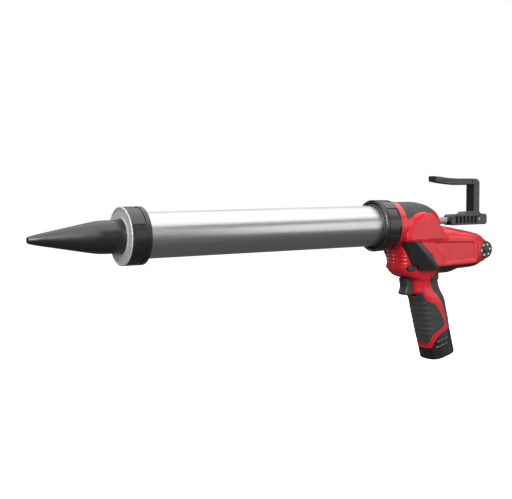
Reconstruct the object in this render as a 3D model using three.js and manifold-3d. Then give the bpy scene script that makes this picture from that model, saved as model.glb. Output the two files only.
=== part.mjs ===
// Cordless caulking gun for 600 ml sausage packs, as an assembly of separate pieces.
//
// Millimetres, +Z up. The nozzle points along -X and the grip hangs below the body. The pieces are
// modelled in the tool frame: x = 0 at the front face of the rear collar, y = 0 on the plane that
// splits the housing, and z = 0 on the barrel's axis, which is also the pitch line of the rack.
// The outer group moves that frame so that the origin is the centre of the battery's base.
import * as THREE from "three";
import { mergeVertices } from "three/addons/utils/BufferGeometryUtils.js";
import Module from "manifold-3d";

const wasm = await Module();
wasm.setup();

// ---------------------------------------------------------------- driving dimensions

const GAP = 0.3; // clearance between two pieces that touch

const BASE_DEPTH = 187.5; // the middle of the battery's base below the barrel axis

const BARREL = { outer: 27.5, inner: 25.7, front: -359.8, rear: 14 };
const FRONT_RING = { front: -367.3, rear: -341.3, outer: 34.5, bore: 30.6, mouth: 20.2, lip: 2.1 };
const COLLAR = { front: 0, rear: 25, outer: 35, mouth: 31.3, thread: 32.3 };
const NOZZLE = { tip: -477, tipRadius: 3.5, shoulder: -403.5, shoulderRadius: 17.9, radius: 19.4, wall: 2.2 };

const RACK = { module: 1.5, front: -341.7, rear: 196, top: 8, half: 3.5, thin: 0.35, toothed: [-328, 134] };
const RACK_MIDDLE = 3.2; // height of the rack's bolt and of the hook's sleeve
const PINION_TEETH = 14;
const DRIVE_X = 66.5; // the output shaft and the shaft below it cross the housing here
const OUTPUT_Z = -(RACK.module * PINION_TEETH) / 2;
const OUTPUT_GEAR = { module: 1, teeth: 43 };
const LAY_PINION = { module: 1, teeth: 12 };
const LAY_Z = OUTPUT_Z - (OUTPUT_GEAR.module * (OUTPUT_GEAR.teeth + LAY_PINION.teeth)) / 2;
const CROWN = { module: 1.25, teeth: 28, face: 4 };
const BEVEL_PINION_TEETH = 10;
const PLANETARY = { module: 0.8, sun: 12, planet: 15, ring: 42, from: 112, to: 120 };
const MOTOR_Z = LAY_Z;

const WALL = 2.8; // housing wall
const SKIN = 1.2; // soft overmould, set into the housing wall
const TURNED = 24; // facets round a turned piece
const SHELL_POINTS = 16; // corners round a section of the housing

const RAKE = 0.265; // how far the grip leans back for each millimetre down
const GRIP = { top: -103, centre: 95.6, depth: 22.6, width: 22 };
const BASE_BACK = GRIP.centre + (GRIP.top + BASE_DEPTH) * RAKE; // the base's middle, behind the collar's face
const BATTERY = { depth: 19.6, width: 18.9, wall: 1.2, stemTop: -110 };
const CELL = { radius: 8.1, length: 56 };
const DIAL = { x: 192, z: -40, radius: 12.6, inner: 8.2, outer: 20.5 };
const TRIGGER = { front: 52, top: -77.5, bottom: -98.5, half: 9, travel: 6 };
const BUTTON = { x: 52, z: -59, long: 7, high: 3.6, reach: 25.6, travel: 3 };

// ---------------------------------------------------------------- materials

function finish(colour, roughness, metalness = 0) {
  return new THREE.MeshStandardMaterial({ color: colour, roughness, metalness });
}
const RED = finish(0xc4121f, 0.42);
const BLACK = finish(0x17181a, 0.5);
const RUBBER = finish(0x2e3032, 0.85);
const ALUMINIUM = finish(0xc9c9cb, 0.32, 1);
const STEEL = finish(0xa9abad, 0.35, 1);
const ZINC = finish(0x8f9296, 0.5, 1);
const BRONZE = finish(0xb08a4a, 0.45, 1);
const NYLON = finish(0xd8d6cc, 0.6);
const COPPER = finish(0x3a6ea5, 0.4);

// ---------------------------------------------------------------- solids and booleans

// A geometry's shared corners merged and its empty triangles dropped.
function welded(geometry) {
  const bare = new THREE.BufferGeometry();
  const source = geometry.index ? geometry.toNonIndexed() : geometry;
  bare.setAttribute("position", source.getAttribute("position").clone());
  const merged = mergeVertices(bare, 1e-4);
  const kept = [];
  const index = merged.index.array;
  for (let i = 0; i < index.length; i += 3) {
    const [a, b, c] = [index[i], index[i + 1], index[i + 2]];
    if (a !== b && b !== c && c !== a) kept.push(a, b, c);
  }
  merged.setIndex(kept);
  return merged;
}

// A closed geometry as a manifold-3d solid, turned to face outwards.
function solid(geometry) {
  const merged = welded(geometry);
  const make = (triVerts) =>
    new wasm.Manifold(
      new wasm.Mesh({ numProp: 3, vertProperties: merged.attributes.position.array, triVerts }),
    );
  const triVerts = new Uint32Array(merged.index.array);
  const made = make(triVerts);
  if (made.volume() >= 0) return made;
  for (let i = 0; i < triVerts.length; i += 3) {
    [triVerts[i + 1], triVerts[i + 2]] = [triVerts[i + 2], triVerts[i + 1]];
  }
  return make(triVerts);
}

function geometryOf(made) {
  const mesh = made.getMesh();
  const stride = mesh.numProp;
  const positions = new Float32Array(mesh.numVert * 3);
  for (let i = 0; i < mesh.numVert; i++) {
    positions.set(mesh.vertProperties.subarray(i * stride, i * stride + 3), i * 3);
  }
  const geometry = new THREE.BufferGeometry();
  geometry.setAttribute("position", new THREE.BufferAttribute(positions, 3));
  geometry.setIndex(new THREE.BufferAttribute(mesh.triVerts, 1));
  return geometry;
}

// The geometry with every edge shorter than a limit closed up, which booleans leave where faces nearly meet.
function tidied(geometry, shortest = 0.04) {
  const position = geometry.attributes.position;
  const index = geometry.index.array;
  const leader = Array.from({ length: position.count }, (_, i) => i);
  const lead = (i) => {
    while (leader[i] !== i) i = leader[i];
    return i;
  };
  const point = (i) => new THREE.Vector3().fromBufferAttribute(position, i);
  for (let i = 0; i < index.length; i += 3) {
    for (let j = 0; j < 3; j++) {
      const [a, b] = [lead(index[i + j]), lead(index[i + ((j + 1) % 3)])];
      if (a !== b && point(a).distanceTo(point(b)) < shortest) leader[b] = a;
    }
  }
  const kept = [];
  for (let i = 0; i < index.length; i += 3) {
    const [a, b, c] = [lead(index[i]), lead(index[i + 1]), lead(index[i + 2])];
    if (a !== b && b !== c && c !== a) kept.push(a, b, c);
  }
  const made = new THREE.BufferGeometry();
  made.setAttribute("position", position);
  made.setIndex(kept);
  return made;
}

const join = (...pieces) => geometryOf(pieces.map(solid).reduce((a, b) => a.add(b)));
const cut = (base, ...tools) => geometryOf(tools.map(solid).reduce((a, b) => a.subtract(b), solid(base)));
const common = (...pieces) => geometryOf(pieces.map(solid).reduce((a, b) => a.intersect(b)));

// ---------------------------------------------------------------- shapes

function box(x0, x1, y0, y1, z0, z1) {
  return new THREE.BoxGeometry(x1 - x0, y1 - y0, z1 - z0).translate((x0 + x1) / 2, (y0 + y1) / 2, (z0 + z1) / 2);
}

// Turns a geometry built along +Y so that it runs along the named axis.
function along(geometry, axis) {
  if (axis === "x") return geometry.rotateZ(-Math.PI / 2);
  if (axis === "z") return geometry.rotateX(Math.PI / 2);
  return geometry;
}

// A turned piece: profile is a list of [radius, place along the axis], closed on itself unless it meets the axis.
function turned(profile, axis = "x", facets = TURNED) {
  const closed = profile[0][0] > 0 || profile.at(-1)[0] > 0;
  const points = [...profile, ...(closed ? [profile[0]] : [])].map(([r, at]) => new THREE.Vector2(r, at));
  return along(new THREE.LatheGeometry(points, facets), axis);
}

const ring = (inner, outer, from, to, axis = "x", facets = TURNED) =>
  turned([[inner, from], [outer, from], [outer, to], [inner, to]], axis, facets);

const rod = (radius, from, to, axis = "x", facets = 20) =>
  turned([[0, from], [radius, from], [radius, to], [0, to]], axis, facets);

// An outline in the XZ plane, extruded across the tool from y0 to y1.
function slab(points, y0, y1) {
  const shape = new THREE.Shape(points.map(([x, z]) => new THREE.Vector2(x, z)));
  const made = new THREE.ExtrudeGeometry(shape, { depth: y1 - y0, bevelEnabled: false });
  return made.rotateX(Math.PI / 2).translate(0, y1, 0);
}

// A skin lofted through rings of points, each ring having the same count, with a flat cap at each end.
function loft(rings) {
  const count = rings[0].length;
  const positions = rings.flat().flatMap((p) => [p.x, p.y, p.z]);
  const triangles = [];
  for (let i = 0; i + 1 < rings.length; i++) {
    for (let j = 0; j < count; j++) {
      const [a, b] = [i * count + j, i * count + ((j + 1) % count)];
      triangles.push(a, b, b + count, a, b + count, a + count);
    }
  }
  for (let j = 1; j + 1 < count; j++) {
    const last = (rings.length - 1) * count;
    triangles.push(0, j + 1, j, last, last + j, last + j + 1);
  }
  const made = new THREE.BufferGeometry();
  made.setAttribute("position", new THREE.Float32BufferAttribute(positions, 3));
  made.setIndex(triangles);
  return made;
}

// A rounded-rectangle ring with half sides a and b; power 2 is an ellipse and more is squarer.
function roundedRing(a, b, power, count, place) {
  return Array.from({ length: count }, (_, i) => {
    const t = (2 * Math.PI * (i + 0.5)) / count;
    const bend = (v) => Math.sign(v) * Math.abs(v) ** (2 / power);
    return place(a * bend(Math.cos(t)), b * bend(Math.sin(t)));
  });
}

// ---------------------------------------------------------------- gears

// The outline of a spur gear: involute flanks, thinned for backlash, with one tooth centred on +X.
function gearOutline(module, teeth, backlash = 0.3, grow = 0, straight = false) {
  const pitch = (module * teeth) / 2;
  const base = pitch * Math.cos(Math.PI / 9);
  const tip = pitch + module + grow;
  const root = pitch - 1.27 * module + grow;
  const involute = (r) => (r > base ? Math.sqrt((r / base) ** 2 - 1) - Math.acos(base / r) : 0);
  const half = Math.PI / (2 * teeth) - backlash / (2 * pitch) + involute(pitch);
  const radii = straight ? [root, tip] : [root, pitch, tip];
  const points = [];
  for (let k = 0; k < teeth; k++) {
    const middle = (2 * Math.PI * k) / teeth;
    for (const r of radii) points.push([r, middle - half + involute(r)]);
    for (const r of [...radii].reverse()) points.push([r, middle + half - involute(r)]);
  }
  return points.map(([r, angle]) => new THREE.Vector2(r * Math.cos(angle), r * Math.sin(angle)));
}

// A spur gear with a round bore along the named axis, turned by phase about that axis.
function gear(module, teeth, width, bore, phase = 0, backlash = 0.3, straight = false) {
  const shape = new THREE.Shape(gearOutline(module, teeth, backlash, 0, straight));
  const hole = new THREE.Path();
  hole.absarc(0, 0, bore, 0, 2 * Math.PI, true);
  shape.holes.push(hole);
  const made = new THREE.ExtrudeGeometry(shape, { depth: width, bevelEnabled: false, curveSegments: 6 });
  return made.translate(0, 0, -width / 2).rotateZ(phase);
}

// The gear's own axis, which is Z, laid across the tool or along it.
const acrossTool = (geometry) => geometry.rotateX(Math.PI / 2);
const alongTool = (geometry) => geometry.rotateY(Math.PI / 2);

// ---------------------------------------------------------------- housing outline

const GRIP_SECTIONS = [
  // height, middle, half depth, half width
  [-66, 84, 23, 21],
  [-77, 86.5, 20.5, 19],
  [-89, 89.5, 20.6, 19.4],
  [GRIP.top, GRIP.centre, GRIP.depth, GRIP.width],
  [-176, 114.9, 22.4, 22],
];
const MOTOR_SECTIONS = [
  // place along the tool, top, bottom, half width
  [88, -16, -69, 22],
  [107, -7, -70, 27],
  [125, -6, -68.5, 26.5],
  [174, -14.5, -61, 24.5],
  [190, -18.5, -57.5, 22],
  [201, -25.5, -52, 17],
];
const NOSE_SECTIONS = [
  // height, front, back, half width
  [-16, 38, 104, 26],
  [-36, 37.5, 104, 25],
  [-56, 37, 104, 24],
  [-66, 40.5, 104, 22.5],
  [-73, 49, 105, 21],
  [-77.2, 60, 106, 19.5],
];
const CASE_PROFILE = [
  // radius of the gear case round the barrel's axis, place along it
  [33, 25.4],
  [33, 68],
  [28.8, 86],
  [21.5, 102.5],
  [16, 106],
];
const DOME = { radius: 28.5, half: 33.6, chamfer: 3 };

const gripShell = (inset) =>
  loft(
    GRIP_SECTIONS.map(([z, x, a, b]) =>
      roundedRing(a - inset, b - inset, 3, SHELL_POINTS, (u, v) => new THREE.Vector3(x + u, v, z)),
    ),
  );

const motorShell = (inset) =>
  loft(
    MOTOR_SECTIONS.map(([x, top, bottom, b], i) =>
      roundedRing(b - inset, (top - bottom) / 2 - inset, 3.6, SHELL_POINTS, (u, v) =>
        new THREE.Vector3(x + (i ? -inset : inset), u, (top + bottom) / 2 + v),
      ),
    ),
  );

const noseShell = (inset) =>
  loft(
    NOSE_SECTIONS.map(([z, front, back, b]) =>
      roundedRing((back - front) / 2 - inset, b - inset, 4, SHELL_POINTS, (u, v) =>
        new THREE.Vector3((front + back) / 2 + u, v, z + inset),
      ),
    ),
  );

function caseShell(inset) {
  const places = CASE_PROFILE.map(([r, x], i) => [r - inset, i ? x - inset : x]);
  return turned([[0, places[0][1]], ...places, [0, places.at(-1)[1]]], "x", TURNED);
}

function domeShell(inset) {
  const { radius, half, chamfer } = DOME;
  const [r, h] = [radius - inset, half - inset];
  const profile = [[0, -h], [r - chamfer, -h], [r, chamfer - h], [r, h - chamfer], [r - chamfer, h], [0, h]];
  return turned(profile, "y", TURNED).translate(DRIVE_X, 0, OUTPUT_Z);
}

// The whole outside of the housing, drawn in by inset.
const bodyShell = (inset) =>
  join(caseShell(inset), domeShell(inset), motorShell(inset), noseShell(inset), gripShell(inset));

// ---------------------------------------------------------------- regions of the soft overmould

const SIDE = 60; // further across the tool than any piece
const GRIP_REGION = [
  [44, -100.5],
  [57, -101],
  [68, -94.5],
  [73, -98.5],
  [80.5, -105],
  [91, -110],
  [97.5, -112.5],
  [103.5, -121],
  [108.5, -130],
  [114, -141.5],
  [103, -148],
  [93.5, -153],
  [85.5, -166],
  [44, -164.8],
];
const STRAP_REGION = [
  [91.5, -75],
  [91.8, -82],
  [94.5, -91.5],
  [102, -97],
  [108.5, -104.5],
  [114.5, -113.5],
  [118, -122.5],
  [120, -131],
  [121.5, -139],
  [150, -126],
  [150, -75],
];
const COVER_REGION = [
  [39, -21.8],
  [61.5, -23.2],
  [74.5, -33.5],
  [85, -47],
  [92.5, -60],
  [73, -61.5],
  [62.5, -59.5],
  [57, -53.5],
  [43, -34],
];
const RIM_LINE = [
  // the grip's lower edge, from front to back
  [60, -171.6],
  [92.5, -172.8],
  [101, -158.6],
  [150, -134.5],
];

// An outline moved outwards by a distance, corner by corner.
function grownOutline(points, distance) {
  const area = points.reduce((sum, [x, z], i) => {
    const [nx, nz] = points[(i + 1) % points.length];
    return sum + x * nz - nx * z;
  }, 0);
  const turn = Math.sign(area);
  const normal = (a, b) => new THREE.Vector2(b[1] - a[1], a[0] - b[0]).normalize().multiplyScalar(turn);
  return points.map((point, i) => {
    const before = normal(points.at(i - 1), point);
    const after = normal(point, points[(i + 1) % points.length]);
    const reach = distance / (1 + before.dot(after));
    return [point[0] + (before.x + after.x) * reach, point[1] + (before.y + after.y) * reach];
  });
}

// The regions of the overmoulds, each grown by a distance.
const sideRegion = (points) => (grow) => slab(grownOutline(points, grow), -SIDE, SIDE);
const gripRegion = sideRegion(GRIP_REGION);
const strapRegion = sideRegion(STRAP_REGION);
const coverRegion = sideRegion(COVER_REGION);
const padRegion = (grow) =>
  cut(
    box(36 - grow, 101 + grow, -SIDE, SIDE, 2 - grow, 60),
    rod(DOME.radius + 1.6 - grow, -SIDE, SIDE, "y", TURNED).translate(DRIVE_X, 0, OUTPUT_Z),
  );
const bellyRegion = (grow) => box(104 - grow, 186 + grow, -SIDE, SIDE, -74 - grow, -60 + grow);

// A soft piece let into the outside of the housing over a region.
const overmould = (region) => cut(common(bodyShell(0), region(0)), bodyShell(SKIN));

// ---------------------------------------------------------------- assembly

const tool = new THREE.Group();
tool.position.set(-BASE_BACK, 0, BASE_DEPTH);

// Adds one named piece, with its faces turned outwards.
function add(name, geometry, material, parent = tool) {
  const mesh = new THREE.Mesh(geometryOf(solid(tidied(geometryOf(solid(geometry))))), material.clone());
  mesh.name = name;
  parent.add(mesh);
  return mesh;
}

// ---------------------------------------------------------------- nozzle and front ring

function addNozzle() {
  const { tip, tipRadius, shoulder, shoulderRadius, radius, wall } = NOZZLE;
  const flangeFront = FRONT_RING.front + FRONT_RING.lip + GAP;
  const flangeBack = flangeFront + 3;
  const profile = [
    [tipRadius - 1.2, tip],
    [tipRadius, tip],
    [shoulderRadius, shoulder],
    [radius - 0.5, shoulder + 6],
    [radius, shoulder + 11],
    [radius, flangeFront],
    [FRONT_RING.bore - 0.6, flangeFront],
    [FRONT_RING.bore - 0.6, flangeBack],
    [radius - wall, flangeBack],
    [radius - wall, shoulder + 11],
    [shoulderRadius - wall, shoulder],
  ];
  add("nozzle", turned(profile), BLACK);
}

function addFrontRing() {
  const { front, rear, outer, bore, mouth, lip } = FRONT_RING;
  const profile = [
    [mouth, front],
    [outer - 0.8, front],
    [outer, front + 0.8],
    [outer, rear - 3],
    [outer - 2, rear],
    [bore, rear],
    [bore, front + lip],
    [mouth, front + lip],
  ];
  let made = turned(profile);
  const pads = 5;
  for (let k = 0; k < pads; k++) {
    const from = (2 * Math.PI * k) / pads + THREE.MathUtils.degToRad(2);
    const shape = new THREE.Shape();
    shape.absarc(0, 0, outer + 2, from, from + THREE.MathUtils.degToRad(23.5), false);
    shape.absarc(0, 0, outer - 0.9, from + THREE.MathUtils.degToRad(23.5), from, true);
    const groove = new THREE.ExtrudeGeometry(shape, { depth: 18.5, bevelEnabled: false, curveSegments: 4 });
    made = cut(made, groove.rotateY(Math.PI / 2).translate(front + 1.2, 0, 0));
  }
  add("front_ring", made, BLACK);
}

function addBarrel() {
  const { outer, inner, front, rear } = BARREL;
  add("barrel_tube", ring(inner, outer, front, rear, "x", 40), ALUMINIUM);
  const gasketBack = front - GAP;
  add("front_gasket", ring(inner, FRONT_RING.bore - 0.6, gasketBack - 1.5, gasketBack), RUBBER);
  add("front_thread_sleeve", ring(outer + GAP, FRONT_RING.bore - 0.4, front, FRONT_RING.rear - 0.8), BLACK);
  const flange = [
    [outer + GAP, -8],
    [29.2, -8],
    [29.5, -7.5],
    [29.5, 7],
    [30.2, 7],
    [30.2, 11.4],
    [COLLAR.thread - 0.4, 11.4],
    [COLLAR.thread - 0.4, 15.4],
    [outer + GAP, 15.4],
  ];
  add("barrel_rear_flange", turned(flange), BLACK);
}

function addCollar() {
  const { front, rear, outer, mouth, thread } = COLLAR;
  const profile = [
    [mouth, front],
    [outer - 1.2, front],
    [outer, front + 1.2],
    [outer, rear - 1],
    [outer - 1, rear],
    [thread, rear],
    [thread, 11.1],
    [30.6, 11.1],
    [30.6, 6],
    [mouth, 6],
  ];
  let made = turned(profile, "x", 32);
  const ribs = 16;
  for (let k = 0; k < ribs; k++) {
    const groove = box(5.5, 23, -0.7, 0.7, outer - 0.8, outer + 2);
    made = cut(made, groove.rotateX((2 * Math.PI * (k + 0.5)) / ribs));
  }
  add("rear_collar", made, BLACK);
  add("collar_circlip", ring(29.5 + GAP, mouth - GAP, 0.6, 2.6), STEEL);
}

// The metal frame that holds the barrel: a threaded spigot, a flange and two side plates for the shafts.
function addFrame() {
  const spigot = turned([
    [26.3, 15.8],
    [COLLAR.thread - 0.5, 15.8],
    [COLLAR.thread - 0.5, 24.8],
    [29, 24.8],
    [29, 33],
    [26.3, 33],
  ]);
  const web = cut(rod(26.6, 28, 33, "x", 40), box(20, 40, -4.2, 4.2, -2.6, RACK.top + 0.7));
  add("barrel_frame", join(spigot, web), ZINC);

  const outline = [
    [45, 14],
    [80, 14],
    [88, 4],
    [88, -44],
    [80, -51],
    [57, -51],
    [48, -42],
    [48, -20],
    [45, -12],
  ];
  for (const [name, y0] of [["gear_plate_left", -19], ["gear_plate_right", 16]]) {
    const plate = slab(outline, y0, y0 + 3);
    const bores = [OUTPUT_Z, LAY_Z].map((z) => rod(7.4, y0 - 1, y0 + 4, "y", 14).translate(DRIVE_X, 0, z));
    add(name, cut(plate, ...bores), ZINC);
  }
}

// ---------------------------------------------------------------- piston, rack and hook

function addPiston() {
  const front = -356;
  const body = turned([
    [0, front],
    [24.6, front],
    [24.6, front + 3.7],
    [21.5, front + 3.7],
    [21.5, front + 10.3],
    [24.6, front + 10.3],
    [24.6, front + 14],
    [0, front + 14],
  ]);
  const hole = rod(3.2, front - 1, front + 15).translate(0, 0, RACK_MIDDLE);
  add("piston", cut(body, hole), BLACK);
  add("piston_seal", ring(21.8, BARREL.inner - 0.25, front + 4, front + 10), NYLON);
  const bolt = join(
    rod(5.6, front - 5, front - 1.7, "x", 6),
    rod(9, front - 1.8, front - GAP, "x", 24),
    rod(2.9, front - 0.4, front + 29, "x", 16),
  );
  add("piston_bolt", bolt.translate(0, 0, RACK_MIDDLE), STEEL);
}

function addRack() {
  const { module, front, rear, top, half, thin, toothed } = RACK;
  const pitch = Math.PI * module;
  const slope = Math.tan(Math.PI / 9);
  const [tip, root] = [-module, 1.27 * module];
  const atPitch = pitch / 4 - thin / 2; // half a tooth's thickness on the pitch line
  const points = [[rear, top], [front, top], [front, root]];
  const first = Math.ceil((toothed[0] - DRIVE_X) / pitch);
  const last = Math.floor((toothed[1] - DRIVE_X) / pitch);
  for (let k = first; k < last; k++) {
    const middle = DRIVE_X + (k + 0.5) * pitch;
    const [wide, narrow] = [atPitch + slope * root, atPitch + slope * tip];
    points.push([middle - wide, root], [middle - narrow, tip], [middle + narrow, tip], [middle + wide, root]);
  }
  points.push([rear, root]);
  const bar = slab(points, -half, half);
  const hole = rod(3.2, front - 1, front + 16, "x", 16).translate(0, 0, RACK_MIDDLE);
  const pinHole = rod(2.3, -half - 1, half + 1, "y", 16).translate(196 - 6, 0, RACK_MIDDLE + 1);
  add("rack_bar", cut(bar, hole, pinHole), STEEL);
}

// Sleeve, post and arm in one moulding: it pulls the rack back and hangs the tool from a rail.
function addHook() {
  const half = 8.5;
  const sleeve = slab([[136, -3.6], [203, -3.8], [204.5, -1], [204.5, 9], [203, 11.3], [138, 11.6], [136, 9]], -half, half);
  const gusset = slab([[161, 11], [165, 14.8], [190, 14.8], [194, 11]], -half, half);
  const post = slab([[178.6, 11], [190, 11], [190, 57], [184.5, 62.3], [170, 62.8], [170, 53.5], [178.6, 53.5]], -half, half);
  const top = [[172, 62.7], [150, 62.9], [130, 64], [116, 65.6], [106.5, 66.4], [106.5, 59], [130, 55.4], [148, 53.5], [172, 53.5]];
  const arm = slab(top, -half, half);
  const rackHole = box(130, 197, -RACK.half - GAP, RACK.half + GAP, RACK.module * -1 - GAP, RACK.top + GAP);
  const pinHole = rod(2.3, -20, 20, "y", 16).translate(190, 0, RACK_MIDDLE + 1);
  let made = cut(join(sleeve, gusset, post, arm), rackHole, pinHole);
  for (const side of [-1, 1]) {
    for (let k = 0; k < 6; k++) {
      const x = 143 + k * 7.2;
      const pocket = box(x, x + 5.2, side * half - 2.6, side * half + 2.6, -1, 8.6);
      made = cut(made, pocket);
    }
  }
  add("hook_handle", made, BLACK);
  add("hook_pin", rod(2, -8.2, 8.2, "y", 16).translate(190, 0, RACK_MIDDLE + 1), STEEL);
}

function addRackGuides() {
  const slot = (x0, x1) => box(x0 - 1, x1 + 1, -RACK.half - GAP, RACK.half + GAP, -RACK.module - GAP, RACK.top + GAP);
  const block = (x0, x1) => box(x0, x1, -8, 8, -6, 12);
  add("rack_guide_front", cut(block(34.5, 41), slot(34.5, 41)), BRONZE);
  add("rack_guide_rear", cut(block(96, 107.5), slot(96, 107.5)), BLACK);
}

// ---------------------------------------------------------------- gear train

// The output shaft carries the rack's pinion; the gear beside it drives the shaft through a clutch.
function addOutputShaft() {
  const up = Math.PI / 2; // one tooth of the drive pinion points up, between two rack teeth
  const drive = acrossTool(gear(RACK.module, PINION_TEETH, 9, 3.5, up, RACK.thin));
  add("drive_pinion", join(drive, rod(4, -21.5, 21.5, "y", 16)).translate(DRIVE_X, 0, OUTPUT_Z), STEEL);
  const wheel = acrossTool(gear(OUTPUT_GEAR.module, OUTPUT_GEAR.teeth, 6, 4.3, -up, 0.3, true));
  add("output_gear", wheel.translate(DRIVE_X, -10, OUTPUT_Z), STEEL);
}

function addLayshaft() {
  const gapUp = Math.PI / 2 + Math.PI / LAY_PINION.teeth;
  const small = acrossTool(gear(LAY_PINION.module, LAY_PINION.teeth, 8, 2.5, gapUp, 0.3, true));
  const made = join(small.translate(0, -10, 0), rod(3, -20.5, 20.5, "y", 14), crownGear());
  add("crown_gear", made.translate(DRIVE_X, 0, LAY_Z), BRONZE);
}

// A disc with radial teeth on its inner face, which a spur pinion at right angles drives.
function crownGear() {
  const { module, teeth, face } = CROWN;
  const radius = (module * teeth) / 2;
  const pitchPlane = (module * BEVEL_PINION_TEETH) / 2;
  const rootPlane = pitchPlane + 1.27 * module;
  const tipPlane = pitchPlane - module;
  const disc = ring(2.5, radius + face / 2 + 0.6, rootPlane - 0.05, rootPlane + 4, "y", 28);
  const step = (2 * Math.PI) / teeth;
  const made = [disc];
  for (let k = 0; k < teeth; k++) {
    const middle = (k + 0.5) * step;
    const rings = [radius - face / 2, radius + face / 2].map((r) => {
      const [wide, narrow] = [0.27 * step, 0.12 * step];
      const corner = (turn, y) => new THREE.Vector3(r * Math.cos(middle + turn), y, r * Math.sin(middle + turn));
      return [
        corner(-wide, rootPlane + 0.2),
        corner(wide, rootPlane + 0.2),
        corner(narrow, tipPlane),
        corner(-narrow, tipPlane),
      ];
    });
    made.push(loft(rings));
  }
  return join(...made);
}

function addBushes() {
  const seats = [
    ["output", OUTPUT_Z, 4.2],
    ["layshaft", LAY_Z, 3.2],
  ];
  for (const [name, z, bore] of seats) {
    for (const [side, y] of [["left", -18.9], ["right", 16.1]]) {
      add(`${name}_bush_${side}`, ring(bore, 7, y, y + 2.8, "y", 14).translate(DRIVE_X, 0, z), BRONZE);
    }
  }
}

function addPlanetary() {
  const { module, sun, planet, ring: ringTeeth, from, to } = PLANETARY;
  const [width, middle] = [to - from, (from + to) / 2];
  const group = new THREE.Group();
  group.position.set(0, 0, MOTOR_Z);
  tool.add(group);

  const outer = 20.2;
  const hollow = gearOutline(module, ringTeeth, -0.5, 0.35, true);
  const toothed = new THREE.ExtrudeGeometry(new THREE.Shape(hollow), { depth: width + 2, bevelEnabled: false });
  const bore = alongTool(toothed).translate(from - 0.5, 0, 0);
  const shell = rod(outer, 101, to + 0.5, "x", 28);
  add("gearbox_case", cut(shell, bore, rod(17.2, 107.2, from - 0.4, "x", 28), rod(4.4, 100, 108, "x", 14)), ZINC, group);

  const sunGear = alongTool(gear(module, sun, width, 1.2, 0, 0.3, true)).translate(middle, 0, 0);
  add("motor_rotor", join(sunGear, ...rotorParts()), COPPER, group);
  const distance = (module * (sun + planet)) / 2;
  for (let k = 0; k < 3; k++) {
    // Thirds of a turn are whole teeth of the sun, the planets and the ring, so every gear meshes.
    const place = (2 * Math.PI * k) / 3;
    const made = gear(module, planet, width - 1, 1.7, 0, 0.3, true).translate(
      distance * Math.cos(place),
      distance * Math.sin(place),
      0,
    );
    add(`planet_gear_${k + 1}`, alongTool(made).translate(middle, 0, 0), STEEL, group);
  }

  const disc = rod(14.5, 107.8, 110.8, "x", 30);
  const pins = [0, 1, 2].map((k) => {
    const place = (2 * Math.PI * k) / 3;
    const pin = rod(1.4, 110.5, to - 0.6, "x", 12);
    return pin.translate(0, distance * Math.sin(place), -distance * Math.cos(place));
  });
  const shaft = rod(3.9, 88, 108, "x", 20);
  const stub = rod(3, 80.5, 88.1, "x", 20);
  const facePinion = alongTool(gear(CROWN.module, BEVEL_PINION_TEETH, 5, 2.5, Math.PI / BEVEL_PINION_TEETH, 0.5, true));
  facePinion.translate(DRIVE_X + (CROWN.module * CROWN.teeth) / 2, 0, 0);
  add("planet_carrier", join(disc, shaft, stub, facePinion, ...pins), STEEL, group);
}

// The motor's shaft, wound core and commutator.
function rotorParts() {
  return [
    rod(1.6, 112.4, 170.4, "x", 16),
    ring(1.2, 14.8, 128, 160, "x", 30),
    ring(1.2, 6, 161.5, 169, "x", 24),
  ];
}

function addMotor() {
  const group = new THREE.Group();
  group.position.set(0, 0, MOTOR_Z);
  tool.add(group);
  const can = turned([
    [3.4, 122],
    [16.2, 122],
    [17.6, 123.5],
    [17.6, 172],
    [16.4, 172],
    [16.4, 124],
    [3.4, 124],
  ]);
  add("motor_can", can, STEEL, group);
  const bell = turned([[0, 178], [11, 178], [16, 175.5], [16, 172.4], [3, 172.4], [3, 171], [0, 171]], "x", 32);
  add("motor_end_bell", bell, NYLON, group);
}

// ---------------------------------------------------------------- housing

const SCREWS = [
  [94, 15.5],
  [43.5, -27],
  [46, -66],
  [98.5, -65],
  [81.5, -103.5],
];

const RELIEF = 0.2; // clearance all round an overmould
const rimCutter = () => slab([...RIM_LINE, [150, -250], [60, -250]], -SIDE, SIDE);

function gripPrism(a, b, top, bottom, power = 3) {
  const at = (z) => GRIP.centre + (GRIP.top - z) * RAKE;
  return loft([top, bottom].map((z) => roundedRing(a, b, power, SHELL_POINTS, (u, v) => new THREE.Vector3(at(z) + u, v, z))));
}

function housingCavity() {
  const gearBay = common(bodyShell(WALL), box(33.5, 103, -SIDE, SIDE, -67.5, 26));
  const motorBay = common(bodyShell(WALL), box(90, 184, -SIDE, SIDE, -66, -10));
  const spigotBay = rod(29.4, 20, 34, "x", 40);
  const rackSlot = box(20, 140, -4.2, 4.2, -RACK.module - 0.8, RACK.top + 0.8);
  const guideBay = box(95.6, 107.9, -8.4, 8.4, -6.4, 12.4);
  const battery = gripPrism(BATTERY.depth + GAP, BATTERY.width + GAP, BATTERY.stemTop + 3, -200);
  const switchBay = box(69, 104, -12.5, 12.5, -100.5, -60);
  const wireway = box(84, 102, -10, 10, -109, -98);
  const { x, z, long, high } = BUTTON;
  const buttonBay = roundButton(long + 0.4, high + 0.4, 40).translate(x, 0, z);
  const dialBay = cut(
    rod(DIAL.radius + 0.8, -SIDE, SIDE, "y", 20).translate(DIAL.x, 0, DIAL.z),
    box(170, 230, -DIAL.inner + 0.5, DIAL.inner - 0.5, -70, -10),
  );
  const dialShaft = rod(2.6, -SIDE, SIDE, "y", 16).translate(DIAL.x, 0, DIAL.z);
  const rackTunnel = box(100, 120, -4.2, 4.2, -2.4, RACK.top + 0.8);
  return [
    gearBay, motorBay, spigotBay, rackSlot, guideBay, battery, switchBay, wireway,
    triggerBay(), buttonBay, dialBay, dialShaft, rackTunnel, rimCutter(),
  ];
}

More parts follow.
